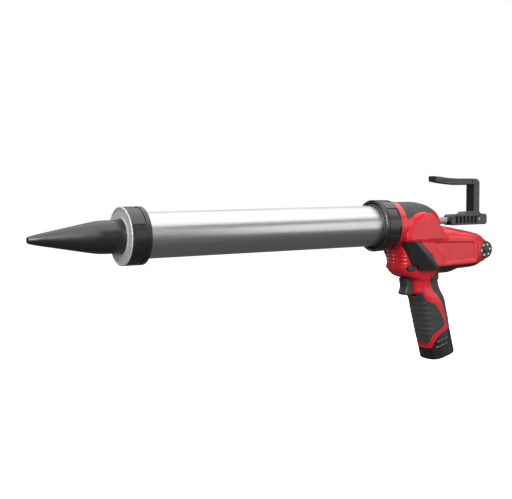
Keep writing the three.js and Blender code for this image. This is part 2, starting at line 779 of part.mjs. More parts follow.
// The room the trigger moves in, between the nose and the grip.
const triggerBay = () => box(40, 76, -TRIGGER.half - 0.5, TRIGGER.half + 0.5, TRIGGER.bottom - 0.6, -72);

function roundButton(long, high, half) {
  return loft([-half, half].map((y) => roundedRing(long, high, 2.6, 20, (u, v) => new THREE.Vector3(u, y, v))));
}

// The overmoulds' seats in the housing, each a little larger than its piece.
function overmouldSeats() {
  const regions = [gripRegion, strapRegion, coverRegion, padRegion, bellyRegion];
  const [outside, inside] = [bodyShell(-1), bodyShell(SKIN + RELIEF)];
  return regions.map((region) => cut(common(outside, region(RELIEF)), inside));
}

function screwBosses() {
  return SCREWS.map(([x, z]) => rod(3.6, -SIDE, SIDE, "y", 8).translate(x, 0, z));
}

function screwHoles() {
  return SCREWS.flatMap(([x, z]) => [
    rod(1.6, -SIDE, 8, "y", 8).translate(x, 0, z),
    rod(3, 7.5, SIDE, "y", 8).translate(x, 0, z),
  ]);
}

function addHousing() {
  const whole = cut(bodyShell(0), ...housingCavity());
  const bosses = common(bodyShell(0.5), join(...screwBosses()));
  const seated = cut(join(whole, bosses), ...screwHoles(), ...overmouldSeats(), rimCutter());
  add("housing_left", largest(cut(seated, box(-20, 260, -0.15, SIDE, -260, 80))), RED);
  add("housing_right", largest(cut(seated, box(-20, 260, -SIDE, 0.15, -260, 80))), RED);
  SCREWS.forEach(([x, z], i) => {
    const made = join(rod(1.2, -8, 9, "y", 8), rod(2.6, 8.4, 10.8, "y", 8));
    add(`housing_screw_${i + 1}`, made.translate(x, 0, z), STEEL);
  });
}

// The biggest of the separate bodies that a cut leaves.
function largest(geometry) {
  const bodies = solid(geometry).decompose();
  return geometryOf(bodies.sort((a, b) => b.volume() - a.volume())[0]);
}

function addOvermoulds() {
  const farSide = box(-20, 260, -0.15, SIDE, -260, 80);
  const nearSide = box(-20, 260, -SIDE, 0.15, -260, 80);
  const grip = cut(overmould(gripRegion), triggerBay());
  const cover = overmould(coverRegion);
  for (const [side, other] of [["left", farSide], ["right", nearSide]]) {
    add(`grip_${side}`, largest(cut(grip, other)), RUBBER);
    add(`side_cover_${side}`, largest(cut(cover, other)), RUBBER);
  }
  add("back_strap", largest(overmould(strapRegion)), RUBBER);
  add("top_pad", largest(overmould(padRegion)), RUBBER);
  add("belly_strip", largest(overmould(bellyRegion)), RUBBER);
}

// ---------------------------------------------------------------- controls

function addTrigger() {
  const { front, top, bottom, half } = TRIGGER;
  const outline = [
    [front + 1, top], [front + 2.2, -81], [front + 3, -85], [front + 2, -90], [front, -94.5],
    [front + 2, bottom + 1.5], [front + 8, bottom], [68, bottom], [68, top],
  ];
  const stem = box(67, 74, -4, 4, -92, -84);
  const bore = rod(3.2, 62, 75, "x", 12).translate(0, 0, -88);
  add("trigger", cut(join(slab(outline, -half, half), stem), bore), RUBBER);
  add("trigger_spring", ring(1.6, 2.8, 68.6, 80.6, "x", 12).translate(0, 0, -88), STEEL);
  const switchBody = box(81, 98, -9, 9, -98.5, -78);
  add("switch_body", switchBody, BLACK);
  const { x, z, long, high, reach } = BUTTON;
  add("lock_button", roundButton(long, high, reach).translate(x, 0, z), BLACK);
}

// Two knobs on one shaft, one on each side of the housing's middle web.
function addDial() {
  const { x, z, radius, inner, outer } = DIAL;
  const knob = () =>
    turned([[1.5, inner], [radius, inner], [radius, outer - 1.2], [radius - 1.2, outer], [1.5, outer]], "y", 20);
  const made = join(knob(), knob().rotateX(Math.PI), rod(2, 0.5 - outer, outer - 0.5, "y", 10));
  add("speed_dial", made.translate(x, 0, z), BLACK);
}

// ---------------------------------------------------------------- battery

function addBattery() {
  const { depth, width, wall, stemTop } = BATTERY;
  const stem = gripPrism(depth, width, stemTop, -175);
  const [a, b] = [GRIP.depth - 0.6, GRIP.width - 0.2];
  const foot = loft([levelRing(a, b, -130), squareRing(a, b, 3), squareRing(a - 2, b - 2, 0)]);
  const [c, d] = [depth - wall, width - wall];
  const inside = loft([levelRing(c, d, stemTop + 5), squareRing(c, d, 2)]);
  const pockets = [-1, 1].map((side) => latchPlate(0.35, side, 2.8));
  let shell = cut(join(stem, cut(foot, boxAbove())), inside, ...pockets);
  shell = cut(shell, box(60, 140, -14, 14, -125, stemTop + 2));
  add("battery_case", shell, BLACK);

  const lid = gripPrism(13.5, 13.2, stemTop + 1.4, -121, 4);
  add("battery_terminals", lid, NYLON);
  const lean = Math.atan(RAKE);
  const pack = new THREE.Group();
  pack.position.set(GRIP.centre + (GRIP.top + 154) * RAKE, 0, -154);
  pack.rotation.y = -lean;
  tool.add(pack);
  const spots = [[7.3, 8.6], [7.3, -8.6], [-7.3, 0]];
  spots.forEach(([x, y], i) => {
    const cell = new THREE.CylinderGeometry(CELL.radius, CELL.radius, CELL.length, 18).rotateX(Math.PI / 2);
    const mesh = add(`battery_cell_${i + 1}`, cell, COPPER, pack);
    mesh.position.set(x, y, 0);
  });
  for (const [name, side] of [["latch_left", -1], ["latch_right", 1]]) {
    add(name, latchPlate(0, side, 1.2), BLACK);
  }
}

// A level section of the handle's prism, and one square to the handle, which is how its base is cut.
function levelRing(a, b, z) {
  const middle = GRIP.centre + (GRIP.top - z) * RAKE;
  return roundedRing(a, b, 3, SHELL_POINTS, (u, v) => new THREE.Vector3(middle + u, v, z));
}

function squareRing(a, b, lift) {
  const z = lift - BASE_DEPTH;
  const middle = GRIP.centre + (GRIP.top - z) * RAKE;
  return roundedRing(a, b, 3, SHELL_POINTS, (u, v) => {
    const reach = u / (1 + RAKE ** 2);
    return new THREE.Vector3(middle + reach, v, z + RAKE * reach);
  });
}

// The space above the grip's lower edge, a gap below it.
function boxAbove() {
  const line = RIM_LINE.map(([x, z]) => [x, z - 0.4]);
  return slab([[60, 0], ...line, [150, 0]], -SIDE, SIDE);
}

// The pressed side plate of the battery's latch, with two ridges.
function latchPlate(grow, side, depth) {
  const outline = [[104, -162], [124, -153.5], [127, -166], [109, -175]];
  const middle = [116, -164.3];
  const points = outline.map(([x, z]) => [
    x + Math.sign(x - middle[0]) * grow,
    z + Math.sign(z - middle[1]) * grow,
  ]);
  const [near, far] = [GRIP.width + 0.6, GRIP.width - depth];
  const plate = side < 0 ? slab(points, -near, -far) : slab(points, far, near);
  return plate;
}

// ---------------------------------------------------------------- everything

addNozzle();
addFrontRing();
addBarrel();
addCollar();
addFrame();
addPiston();
addRack();
addHook();
addRackGuides();
addOutputShaft();
addLayshaft();
addBushes();
addPlanetary();
addMotor();
addHousing();
addOvermoulds();
addTrigger();
addDial();
addBattery();

const assembly = new THREE.Group();
assembly.add(tool);

export default assembly;
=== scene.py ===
"""Looks of the cordless caulking gun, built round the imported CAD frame.

The pieces are modelled in millimetres in the tool frame: x = 0 at the front face of the rear collar,
y = 0 on the plane that splits the housing, z = 0 on the barrel's axis. -Y is the left side. Most pieces
are fields, functions that give the distance of a point from the surface (negative inside), and
contour() turns a field into a mesh.
"""

import math

import bmesh
import bpy
import numpy as np
from mathutils import Matrix, Vector


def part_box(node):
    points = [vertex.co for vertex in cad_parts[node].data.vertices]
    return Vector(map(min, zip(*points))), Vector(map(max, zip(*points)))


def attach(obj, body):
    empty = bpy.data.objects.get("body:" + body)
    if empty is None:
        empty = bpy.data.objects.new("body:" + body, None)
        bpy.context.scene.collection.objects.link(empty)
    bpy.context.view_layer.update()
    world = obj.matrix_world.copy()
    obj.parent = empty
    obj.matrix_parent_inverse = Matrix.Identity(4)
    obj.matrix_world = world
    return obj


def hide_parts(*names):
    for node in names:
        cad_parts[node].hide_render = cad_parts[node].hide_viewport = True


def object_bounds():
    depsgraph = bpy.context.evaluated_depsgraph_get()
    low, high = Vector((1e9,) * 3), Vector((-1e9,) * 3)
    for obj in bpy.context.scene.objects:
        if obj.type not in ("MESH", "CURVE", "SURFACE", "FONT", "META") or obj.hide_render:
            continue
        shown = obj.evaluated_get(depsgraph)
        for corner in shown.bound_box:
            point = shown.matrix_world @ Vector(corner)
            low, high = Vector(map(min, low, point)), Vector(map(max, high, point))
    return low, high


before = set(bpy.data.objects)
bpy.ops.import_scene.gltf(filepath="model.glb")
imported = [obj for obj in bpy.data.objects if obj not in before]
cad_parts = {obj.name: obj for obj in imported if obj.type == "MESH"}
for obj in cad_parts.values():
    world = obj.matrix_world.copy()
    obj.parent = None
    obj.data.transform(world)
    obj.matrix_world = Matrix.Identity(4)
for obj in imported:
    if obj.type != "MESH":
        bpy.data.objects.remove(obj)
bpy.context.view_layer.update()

MM = 0.001
TOOL_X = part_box("rear_collar")[0].x / MM  # the tool frame's origin in the row frame
TOOL_Z = (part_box("barrel_tube")[0].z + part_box("barrel_tube")[1].z) / 2 / MM
COARSE = 1.0

# ---------------------------------------------------------------- driving dimensions, millimetres

WALL = 2.8
SKIN = 1.2
SEAT_GAP = 0.25
HALF_GAP = 0.15  # each housing half stops this far from the parting plane
RAKE = 0.265  # how far the grip leans back for each millimetre down
GRIP_TOP = -103
GRIP_MIDDLE = 95.6
RACK_HALF = 3.5
RACK_TOP = 8.0
RACK_PITCH = math.pi * 1.5
DRIVE = (66.5, -10.5)  # the output shaft's place in the XZ plane
DIAL = (192.0, -40.0)
BUTTON = (50.4, -59.0)
SCREWS = [(94, 15.5), (43.5, -27), (46, -66), (98.5, -65), (81.5, -103.5)]

# ---------------------------------------------------------------- fields


def smooth_max(a, b, ease):
    """The larger of two distances, with the corner between them eased over that width."""
    blend = np.maximum(ease - np.abs(a - b), 0) / ease
    return np.maximum(a, b) + blend * blend * ease / 4


def smooth_min(a, b, ease):
    return -smooth_max(-a, -b, ease)


def outline(points, x, z):
    """Distance from a closed outline in the XZ plane."""
    nearest = np.inf
    inside = False
    for (ax, az), (bx, bz) in zip(points, points[1:] + points[:1]):
        ex, ez = bx - ax, bz - az
        along = np.clip(((x - ax) * ex + (z - az) * ez) / (ex * ex + ez * ez), 0, 1)
        nearest = np.minimum(nearest, (x - ax - along * ex) ** 2 + (z - az - along * ez) ** 2)
        if ez:
            crossed = ((az > z) != (bz > z)) & (x < ax + (z - az) * ex / ez)
            inside = inside ^ crossed
    return np.where(inside, -1, 1) * np.sqrt(nearest)


def curved(points, times=2):
    """A closed outline with its corners cut again and again, which leaves a smooth curve."""
    for _ in range(times):
        cut = []
        for (ax, az), (bx, bz) in zip(points, points[1:] + points[:1]):
            cut.append((ax * 0.8 + bx * 0.2, az * 0.8 + bz * 0.2))
            cut.append((ax * 0.2 + bx * 0.8, az * 0.2 + bz * 0.8))
        points = cut
    return points


def table(rows, count=120):
    """Rows (place, values...) as smooth columns: cubic pieces through the rows, with eased slopes."""
    rows = np.array(sorted(rows), float)
    place = rows[:, 0]
    steps = np.diff(place)
    slopes = np.diff(rows[:, 1:], axis=0) / steps[:, None]
    tangents = np.vstack([slopes[:1], (slopes[:-1] + slopes[1:]) / 2, slopes[-1:]])
    ends = np.zeros((1, slopes.shape[1]), bool)
    flat = np.vstack([ends, slopes[:-1] * slopes[1:] <= 0, ends])
    tangents[flat] = 0
    at = np.linspace(place[0], place[-1], count)
    i = np.clip(np.searchsorted(place, at, side="right") - 1, 0, len(place) - 2)
    t = ((at - place[i]) / steps[i])[:, None]
    h = steps[i][:, None]
    values = (
        rows[i, 1:] * (2 * t**3 - 3 * t**2 + 1)
        + tangents[i] * h * (t**3 - 2 * t**2 + t)
        + rows[i + 1, 1:] * (3 * t**2 - 2 * t**3)
        + tangents[i + 1] * h * (t**3 - t**2)
    )
    return at, values


def read(columns, place):
    """The columns of a table at places, in the places' own shape and precision."""
    at, values = columns
    return [np.interp(place, at, values[:, i]).astype(place.dtype) for i in range(values.shape[1])]


def rounded_section(u, v, a, b, power):
    """Distance from a rounded rectangle with half sides a and b; power 2 is an ellipse and more is squarer."""
    u, v = np.abs(u) / a, np.abs(v) / b
    size = np.maximum((u**power + v**power) ** (1 / power), 1e-3)
    slope = np.hypot((u / size) ** (power - 1) / a, (v / size) ** (power - 1) / b)
    return (size - 1) / np.maximum(slope, 1e-3)


def slab(value, low, high):
    """Distance from the space between two planes."""
    return np.maximum(low - value, value - high)


def block(x, y, z, x0, x1, y0, y1, z0, z1, ease=0.0):
    if ease:
        return smooth_max(smooth_max(slab(x, x0, x1), slab(z, z0, z1), ease), slab(y, y0, y1), ease)
    return np.maximum(np.maximum(slab(x, x0, x1), slab(y, y0, y1)), slab(z, z0, z1))


# ---------------------------------------------------------------- meshes


def to_row(points):
    """Tool frame millimetres as row frame metres."""
    return (np.asarray(points, float) + (TOOL_X, 0, TOOL_Z)) * MM


def object_from(name, points, faces, sharp=32):
    mesh = bpy.data.meshes.new(name)
    mesh.from_pydata(to_row(points).tolist(), [], faces.tolist() if hasattr(faces, "tolist") else faces)
    return shown(name, mesh, sharp)


def shown(name, mesh, sharp=32):
    mesh.polygons.foreach_set("use_smooth", [True] * len(mesh.polygons))
    mesh.set_sharp_from_angle(angle=math.radians(sharp))
    made = bpy.data.objects.new(name, mesh)
    bpy.context.scene.collection.objects.link(made)
    return made


def edge_crossings(field, values, axes, cell, axis):
    """Where the surface crosses the grid edges along one axis: points, and the four cells round each."""
    counts = values.shape
    u, v = (axis + 1) % 3, (axis + 2) % 3
    start, stop = [slice(None)] * 3, [slice(None)] * 3
    start[axis], stop[axis] = slice(None, -1), slice(1, None)
    near, far = values[tuple(start)], values[tuple(stop)]
    at = np.nonzero((near < 0) != (far < 0))
    kept = (at[u] > 0) & (at[u] < counts[u] - 1) & (at[v] > 0) & (at[v] < counts[v] - 1)
    at = [i[kept] for i in at]
    a, b = near[tuple(at)].astype(float), far[tuple(at)].astype(float)
    point = np.stack([axes[i][at[i]] for i in range(3)], 1).astype(float)
    base = point[:, axis].copy()
    low, high = np.zeros(len(a)), np.ones(len(a))
    for _ in range(3):
        share = low + (high - low) * a / (a - b)
        point[:, axis] = base + cell * share
        middle = field(*point.T)
        same = (middle < 0) == (a < 0)
        low, a = np.where(same, share, low), np.where(same, middle, a)
        high, b = np.where(same, high, share), np.where(same, b, middle)
        a = np.where(a == 0, 1e-12, a)
    starts_inside = near[tuple(at)] < 0
    corners = []
    for du, dv in ((0, 0), (-1, 0), (-1, -1), (0, -1)):
        place = list(at)
        place[u] = at[u] + du
        place[v] = at[v] + dv
        corners.append((place[0] * (counts[1] - 1) + place[1]) * (counts[2] - 1) + place[2])
    cells = np.stack(corners, 1)
    cells[~starts_inside] = cells[~starts_inside][:, ::-1]
    return point, cells


def contour(name, field, low, high, cell, sharp=32):
    """A mesh where the field is zero, by dual contouring: one point in each cell that the surface
    crosses, where the planes at its crossings meet best, so that edges and corners stay crisp."""
    cell = cell * COARSE
    low = np.array(low, float) - 1.5 * cell
    counts = np.ceil((np.array(high, float) + 1.5 * cell - low) / cell).astype(int) + 1
    axes = [(low[i] + cell * np.arange(counts[i])).astype(np.float32) for i in range(3)]
    grid = np.broadcast_to(
        field(axes[0][:, None, None], axes[1][None, :, None], axes[2][None, None, :]), counts
    )
    values = np.where(grid == 0, np.float32(1e-6), grid.astype(np.float32))
    found = [edge_crossings(field, values, axes, cell, axis) for axis in range(3)]
    points = np.concatenate([f[0] for f in found])
    cells = np.concatenate([f[1] for f in found])
    step = 0.01
    normals = np.stack(
        [
            field(*(points + step * unit).T) - field(*(points - step * unit).T)
            for unit in np.eye(3)
        ],
        1,
    )
    normals /= np.maximum(np.linalg.norm(normals, axis=1, keepdims=True), 1e-9)
    used, quads = np.unique(cells, return_inverse=True)
    quads = quads.reshape(cells.shape)

    def total(weights):
        weights = np.repeat(weights, 4)
        return np.bincount(quads.ravel(), weights=weights, minlength=len(used))

    number = total(np.ones(len(points)))
    middle = np.stack([total(points[:, i]) for i in range(3)], 1) / number[:, None]
    offset = (normals * points).sum(1)
    square = np.empty((len(used), 3, 3))
    for i in range(3):
        for j in range(i, 3):
            square[:, i, j] = square[:, j, i] = total(normals[:, i] * normals[:, j])
    side = np.stack([total(normals[:, i] * offset) for i in range(3)], 1)
    side -= np.einsum("nij,nj->ni", square, middle)
    square += 0.06 * np.eye(3)
    place = middle + np.linalg.solve(square, side[:, :, None])[:, :, 0]
    index = np.stack(np.unravel_index(used, tuple(counts - 1)), 1)
    centre = low + cell * (index + 0.5)
    place = np.clip(place, centre - 0.6 * cell, centre + 0.6 * cell)
    return object_from(name, place, quads, sharp)


def eased(profile, radius, steps=3):
    """A closed profile with each corner rounded."""
    made = []
    for i, corner in enumerate(profile):
        corner = Vector(corner)
        if corner.y == 0:
            made.append(tuple(corner))
            continue
        before = Vector(profile[i - 1]) - corner
        after = Vector(profile[(i + 1) % len(profile)]) - corner
        reach = min(radius, before.length * 0.45, after.length * 0.45)
        first = corner + before.normalized() * reach
        last = corner + after.normalized() * reach
        for k in range(steps + 1):
            t = k / steps
            made.append(tuple(first * (1 - t) ** 2 + corner * (2 * t * (1 - t)) + last * t**2))
    return made


def turned(name, profile, segments=180, radius=0.4, sharp=32):
    """A piece turned about the barrel's axis from a closed profile of (place, radius)."""
    profile = eased(profile, radius) if radius else profile
    turns = np.linspace(0, 2 * math.pi, segments, endpoint=False)
    points = [(x, r * math.cos(t), r * math.sin(t)) for x, r in profile for t in turns]
    faces = []
    for i in range(len(profile)):
        for j in range(segments):
            k, n = (j + 1) % segments, (i + 1) % len(profile)
            faces.append((i * segments + j, i * segments + k, n * segments + k, n * segments + j))
    made = object_from(name, points, faces, sharp)
    shape = bmesh.new()
    shape.from_mesh(made.data)
    bmesh.ops.remove_doubles(shape, verts=shape.verts, dist=1e-7)
    bmesh.ops.recalc_face_normals(shape, faces=shape.faces)
    shape.to_mesh(made.data)
    shape.free()
    made.data.set_sharp_from_angle(angle=math.radians(sharp))
    return made


def paint(piece, chosen, finish):
    """Gives the faces whose middles a test picks, in tool frame millimetres, another material."""
    piece.data.materials.append(finish)
    count = len(piece.data.polygons)
    middles = np.zeros(count * 3)
    piece.data.polygons.foreach_get("center", middles)
    middles = middles.reshape(-1, 3) / MM - (TOOL_X, 0, TOOL_Z)
    picked = chosen(*middles.T).astype(int) * (len(piece.data.materials) - 1)
    piece.data.polygons.foreach_set("material_index", picked)


# ---------------------------------------------------------------- materials


class Nodes:
    """A material's node tree, with short ways to add and join nodes."""

    def __init__(self, name, scale=(1, 1, 1)):
        self.material = bpy.data.materials.new(name)
        self.material.use_nodes = True
        self.tree = self.material.node_tree
        self.shader = self.tree.nodes["Principled BSDF"]
        place = self.tree.nodes.new("ShaderNodeTexCoord").outputs["Object"]
        mapping = self.tree.nodes.new("ShaderNodeMapping")
        mapping.inputs["Scale"].default_value = scale
        self.link(place, mapping.inputs["Vector"])
        self.place = mapping.outputs["Vector"]

    def link(self, source, target):
        self.tree.links.new(source, target)

    def noise(self, scale, detail=3.0, roughness=0.5):
        node = self.tree.nodes.new("ShaderNodeTexNoise")
        node.inputs["Scale"].default_value = scale
        node.inputs["Detail"].default_value = detail
        node.inputs["Roughness"].default_value = roughness
        self.link(self.place, node.inputs["Vector"])
        return node.outputs["Fac"]

    def cells(self, scale):
        node = self.tree.nodes.new("ShaderNodeTexVoronoi")
        node.inputs["Scale"].default_value = scale
        self.link(self.place, node.inputs["Vector"])
        return node.outputs["Distance"]

    def spread(self, source, low, high, start=0.3, stop=0.7):
        node = self.tree.nodes.new("ShaderNodeMapRange")
        node.inputs["From Min"].default_value = start
        node.inputs["From Max"].default_value = stop
        node.inputs["To Min"].default_value = low
        node.inputs["To Max"].default_value = high
        self.link(source, node.inputs["Value"])
        return node.outputs["Result"]

    def mix(self, amount, first, second):
        node = self.tree.nodes.new("ShaderNodeMix")
        node.data_type = "RGBA"
        self.link(amount, node.inputs[0])
        for socket, colour in ((node.inputs[6], first), (node.inputs[7], second)):
            if isinstance(colour, tuple):
                socket.default_value = (*colour, 1)
            else:
                self.link(colour, socket)
        return node.outputs[2]

    def edges(self, start=0.515, stop=0.56):
        """How exposed the surface is at its convex edges, from 0 to 1."""
        node = self.tree.nodes.new("ShaderNodeNewGeometry")
        return self.spread(node.outputs["Pointiness"], 0.0, 1.0, start, stop)

    def bump(self, source, depth, before=None):
        node = self.tree.nodes.new("ShaderNodeBump")
        node.inputs["Strength"].default_value = 1.0
        node.inputs["Distance"].default_value = depth
        self.link(source, node.inputs["Height"])
        if before is not None:
            self.link(before, node.inputs["Normal"])
        return node.outputs["Normal"]

    def set(self, **values):
        """Sets the shader's sockets, by their names with _ for a space."""
        for name, value in values.items():
            socket = self.shader.inputs[name.replace("_", " ")]
            if isinstance(value, bpy.types.NodeSocket):
                self.link(value, socket)
            else:
                socket.default_value = (*value, 1) if isinstance(value, tuple) and len(value) == 3 else value
        return self.material


def moulded(name, colour, light, roughness, coat=0.0, ior=1.48, grain=0.00004):
    """Moulded plastic: fine spark-eroded grain, a slight drift of colour, and convex edges painted paler, partly as
    rubbing and partly as a painted highlight.
    """
    n = Nodes(name)
    drift = n.mix(n.spread(n.noise(35, 4), 0, 1), colour, light)
    pale = tuple(min(1, c * 1.7 + 0.03) for c in colour)
    # Convex edges are mixed towards a paler colour: partly rubbing, partly a painted edge highlight.
    rubbed_and_highlit = n.mix(n.spread(n.edges(), 0, 0.25, 0, 1), drift, pale)
    normal = n.bump(n.noise(1800, 2, 0.6), grain, n.bump(n.noise(260, 3), grain * 1.5))
    gloss = n.spread(n.noise(120, 4), roughness * 0.85, roughness * 1.15)
    n.set(Coat_Weight=coat, Coat_Roughness=0.2, IOR=ior)
    return n.set(Base_Color=rubbed_and_highlit, Roughness=gloss, Normal=normal)


def mottled(name, colour, light):
    """A pale grey painted over black plastic as its sheen, mottled by coarse grain."""
    n = Nodes(name)
    grain = n.noise(520, 3, 0.7)
    tint = n.mix(n.spread(grain, 0, 1, 0.35, 0.65), colour, light)
    normal = n.bump(grain, 0.0002, n.bump(n.noise(1900, 2), 0.00005))
    return n.set(Base_Color=tint, Roughness=n.spread(grain, 0.3, 0.5), Normal=normal, IOR=1.6)


def rubber(name, colour, light):
    """Soft overmould: a pebbled skin that scatters light, paler where it is handled."""
    n = Nodes(name)
    pebble = n.cells(1500)
    fine = n.noise(4200, 2)
    drift = n.mix(n.spread(n.noise(60, 5), 0, 1), colour, light)
    handled = n.mix(n.spread(n.edges(), 0, 0.35, 0, 1), drift, (0.11, 0.115, 0.115))
    normal = n.bump(pebble, 0.00007, n.bump(fine, 0.00003))
    gloss = n.spread(n.noise(200, 3), 0.56, 0.7)
    n.set(Sheen_Weight=0.12, Sheen_Roughness=0.45, IOR=1.5)
    return n.set(Base_Color=handled, Roughness=gloss, Normal=normal)


def drawn_tube(name):
    """Drawn and anodised aluminium: hair-fine draw lines along the barrel and faint clouds."""
    n = Nodes(name, (1, 60, 60))
    lines = n.noise(45, 4, 0.6)
    cloud = n.noise(4, 3)
    tint = n.mix(n.spread(cloud, 0, 1), (0.6, 0.6, 0.608), (0.7, 0.7, 0.705))
    streak = n.mix(n.spread(lines, 0, 0.35), tint, (0.52, 0.52, 0.53))
    gloss = n.spread(lines, 0.27, 0.38)
    normal = n.bump(lines, 0.000015)
    return n.set(Base_Color=streak, Metallic=1.0, Roughness=gloss, Normal=normal, Anisotropic=0.35)


def metal(name, colour, light, roughness, scale=220, depth=0.00002, stretch=(1, 1, 1)):
    """Bare metal with the marks of its making: cast grain or cutting lines, by the stretch."""
    n = Nodes(name, stretch)
    marks = n.noise(scale, 4, 0.6)
    tint = n.mix(n.spread(marks, 0, 1), colour, light)
    worn = n.mix(n.spread(n.edges(), 0, 0.6, 0, 1), tint, tuple(min(1, c * 1.25) for c in light))
    gloss = n.spread(n.noise(scale * 0.4, 3), roughness * 0.8, roughness * 1.2)
    return n.set(Base_Color=worn, Metallic=1.0, Roughness=gloss, Normal=n.bump(marks, depth))


def windings(name):
    """Enamelled copper windings and sleeves: fine turns along the rotor."""
    n = Nodes(name, (1, 0.2, 0.2))
    turns = n.noise(900, 2, 0.4)
    tint = n.mix(n.spread(turns, 0, 1), (0.3, 0.1, 0.035), (0.62, 0.27, 0.1))
    gloss = n.spread(turns, 0.25, 0.45)
    return n.set(Base_Color=tint, Metallic=0.6, Roughness=gloss, Normal=n.bump(turns, 0.00012))


def make_materials():
    red, light_red = (0.56, 0.008, 0.018), (0.66, 0.016, 0.028)
    black, light_black = (0.007, 0.007, 0.0074), (0.012, 0.012, 0.0124)
    return {
        "red_plastic": moulded("red_plastic", red, light_red, 0.32, coat=0.35),
        "black_plastic": moulded("black_plastic", black, light_black, 0.32, ior=1.72, grain=0.000015),
        # The front ring's face: its sheen is painted as a pale grey colour over the black plastic.
        "painted_ring_sheen": mottled("painted_ring_sheen", (0.32, 0.323, 0.326), (0.78, 0.784, 0.788)),
        # A paler grey for the latch ridges' tops: a painted highlight.
        "ridge_highlight_black": moulded("ridge_highlight_black", (0.1, 0.1, 0.1), (0.18, 0.18, 0.18), 0.3, ior=1.8),
        "satin_black": moulded("satin_black", (0.024, 0.026, 0.025), (0.036, 0.039, 0.038), 0.44, ior=1.6),
        "soft_grip": rubber("soft_grip", (0.028, 0.032, 0.032), (0.042, 0.047, 0.046)),
        "tube_metal": drawn_tube("tube_metal"),
        "bright_steel": metal("bright_steel", (0.38, 0.38, 0.39), (0.5, 0.5, 0.51), 0.3, 300),
        "gear_steel": metal("gear_steel", (0.32, 0.32, 0.33), (0.42, 0.42, 0.43), 0.38, 420, 0.00003),
        "cast_zinc": metal("cast_zinc", (0.35, 0.36, 0.37), (0.45, 0.46, 0.47), 0.52, 520, 0.00008),
        "bronze": metal("bronze", (0.45, 0.28, 0.12), (0.58, 0.38, 0.18), 0.42, 600, 0.00005),
        "white_nylon": moulded("white_nylon", (0.62, 0.6, 0.54), (0.72, 0.7, 0.65), 0.5),
        "seal_rubber": rubber("seal_rubber", (0.018, 0.018, 0.018), (0.03, 0.03, 0.03)),
        "motor_windings": windings("motor_windings"),
        "cell_wrap": moulded("cell_wrap", (0.03, 0.1, 0.26), (0.045, 0.14, 0.34), 0.3, coat=0.3),
        "dial_mark": moulded("dial_mark", (0.6, 0.6, 0.6), (0.75, 0.75, 0.75), 0.4),
    }


FINISH = make_materials()


def fit(piece, finish, body, *nodes):
    """Gives a piece its finish and sets it on its body in place of CAD nodes."""
    piece.data.materials.append(FINISH[finish])
    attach(piece, body)
    if nodes:
        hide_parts(*nodes)
    return piece


# ---------------------------------------------------------------- housing outside

GRIP_SECTIONS = table(
    [
        # height, middle, half depth, half width
        (-64, 82.2, 25.4, 22.6),
        (-70, 83.3, 23.1, 21.9),
        (-77, 84.5, 22.5, 20.8),
        (-87, 86.9, 22.9, 20),
        (-94, 89, 24, 20.4),
        (-99, 92.5, 23.3, 21.3),
        (-104, 95.9, 22.6, 21.8),
        (-120, 100.3, 22.5, 22),
        (-140, 105.6, 22.5, 22),
        (-182, 116.5, 22.4, 22),
    ]
)
MOTOR_SECTIONS = table(
    [
        # place, top, bottom, half width
        (88, -6, -67, 23),
        (107, -3.8, -70, 25),
        (120, -3.8, -70.3, 25),
        (130, -5.3, -69.8, 25),
        (144, -8.2, -66.2, 24.6),
        (162, -11.5, -65.2, 24.2),
        (176, -14.5, -64.2, 23.4),
        (185, -17, -61.5, 22),
        (190, -19, -59, 20.8),
    ]
)
NOSE_SECTIONS = table(
    [
        # height, front, back, half width
        (-14, 38, 104, 26),
        (-36, 37.5, 104, 25),
        (-56, 37.3, 104, 23.8),
        (-65.5, 40.8, 104, 22.8),
        (-71.5, 49, 105, 21.8),
        (-75.2, 60, 106, 21),
    ]
)
CASE_RADII = table(
    [
        # place, radius
        (25.4, 31.4),
        (62, 31.4),
        (76, 30),
        (87, 27.4),
        (96, 23.8),
        (103, 20.2),
        (106.5, 16.5),
        (108, 13),
    ]
)
PLATE_EDGE = curved(
    [
        (60, -40), (50, -14), (50, 4), (62, 11), (76, 13), (84, 9), (93, -1), (103, -12),
        (112, -17.6), (118, -17.8), (133, -18.9), (146, -20.1), (159.5, -21.1), (167.6, -22.8), (170.6, -27),
        (172, -34), (172.8, -44), (172.4, -55), (166, -58.6), (106, -58.8), (92, -59), (76, -58),
    ],
    1,
)
DOME = (69, -16)  # the middle of the dome on each side, in the XZ plane
DOME_FACE = 26.3  # the radius of its flat, inside the bevel
DOME_EDGE = [
    (DOME[0] + 33 * math.cos(math.radians(turn)), DOME[1] + 33 * math.sin(math.radians(turn)))
    for turn in range(240, 78, -6)
] + [(80.5, 15.4), (86, 10), (93.4, 1.5), (98.2, -4), (103, -9.7), (107.5, -14.8), (112, -18.2), (112, -40)]
DOME_REACH = table([(36, 33), (72, 33), (84, 32.2), (98, 30.6), (112, 28.8)])
PLATE_REACH = table([(36, 29.6), (50, 31.2), (66, 32), (84, 31), (100, 29.4), (130, 27.4), (173, 24.8)])
CHEEK_TOP = -21.6  # the side cover's flat seat starts here
RIDGE_AHEAD = 6.6  # how far the cover's ridge lies in front of its rear edge
PANEL = [(85.5, -24.4), (161, -27.4), (163.6, -29.6), (164.6, -51.7), (107.5, -53.2), (84.4, -29.8)]
WEB = curved(
    [
        (176, -18), (184, -17.4), (190, -20.5), (198, -23.9), (205, -28), (206.3, -36), (206.3, -47),
        (205.2, -54.6), (199, -58), (191, -59.4), (185, -60.8), (176, -60),
    ],
    1,
)


def grip_body(x, y, z):
    middle, a, b = read(GRIP_SECTIONS, z)
    return smooth_max(rounded_section(x - middle, y, a, b, 3), slab(z, -181, -62), 1.0)


def motor_body(x, y, z):
    top, bottom, b = read(MOTOR_SECTIONS, x)
    section = rounded_section(y, z - (top + bottom) / 2, b, (top - bottom) / 2, 2.9)
    return smooth_max(section, slab(x, 90, 192), 6)


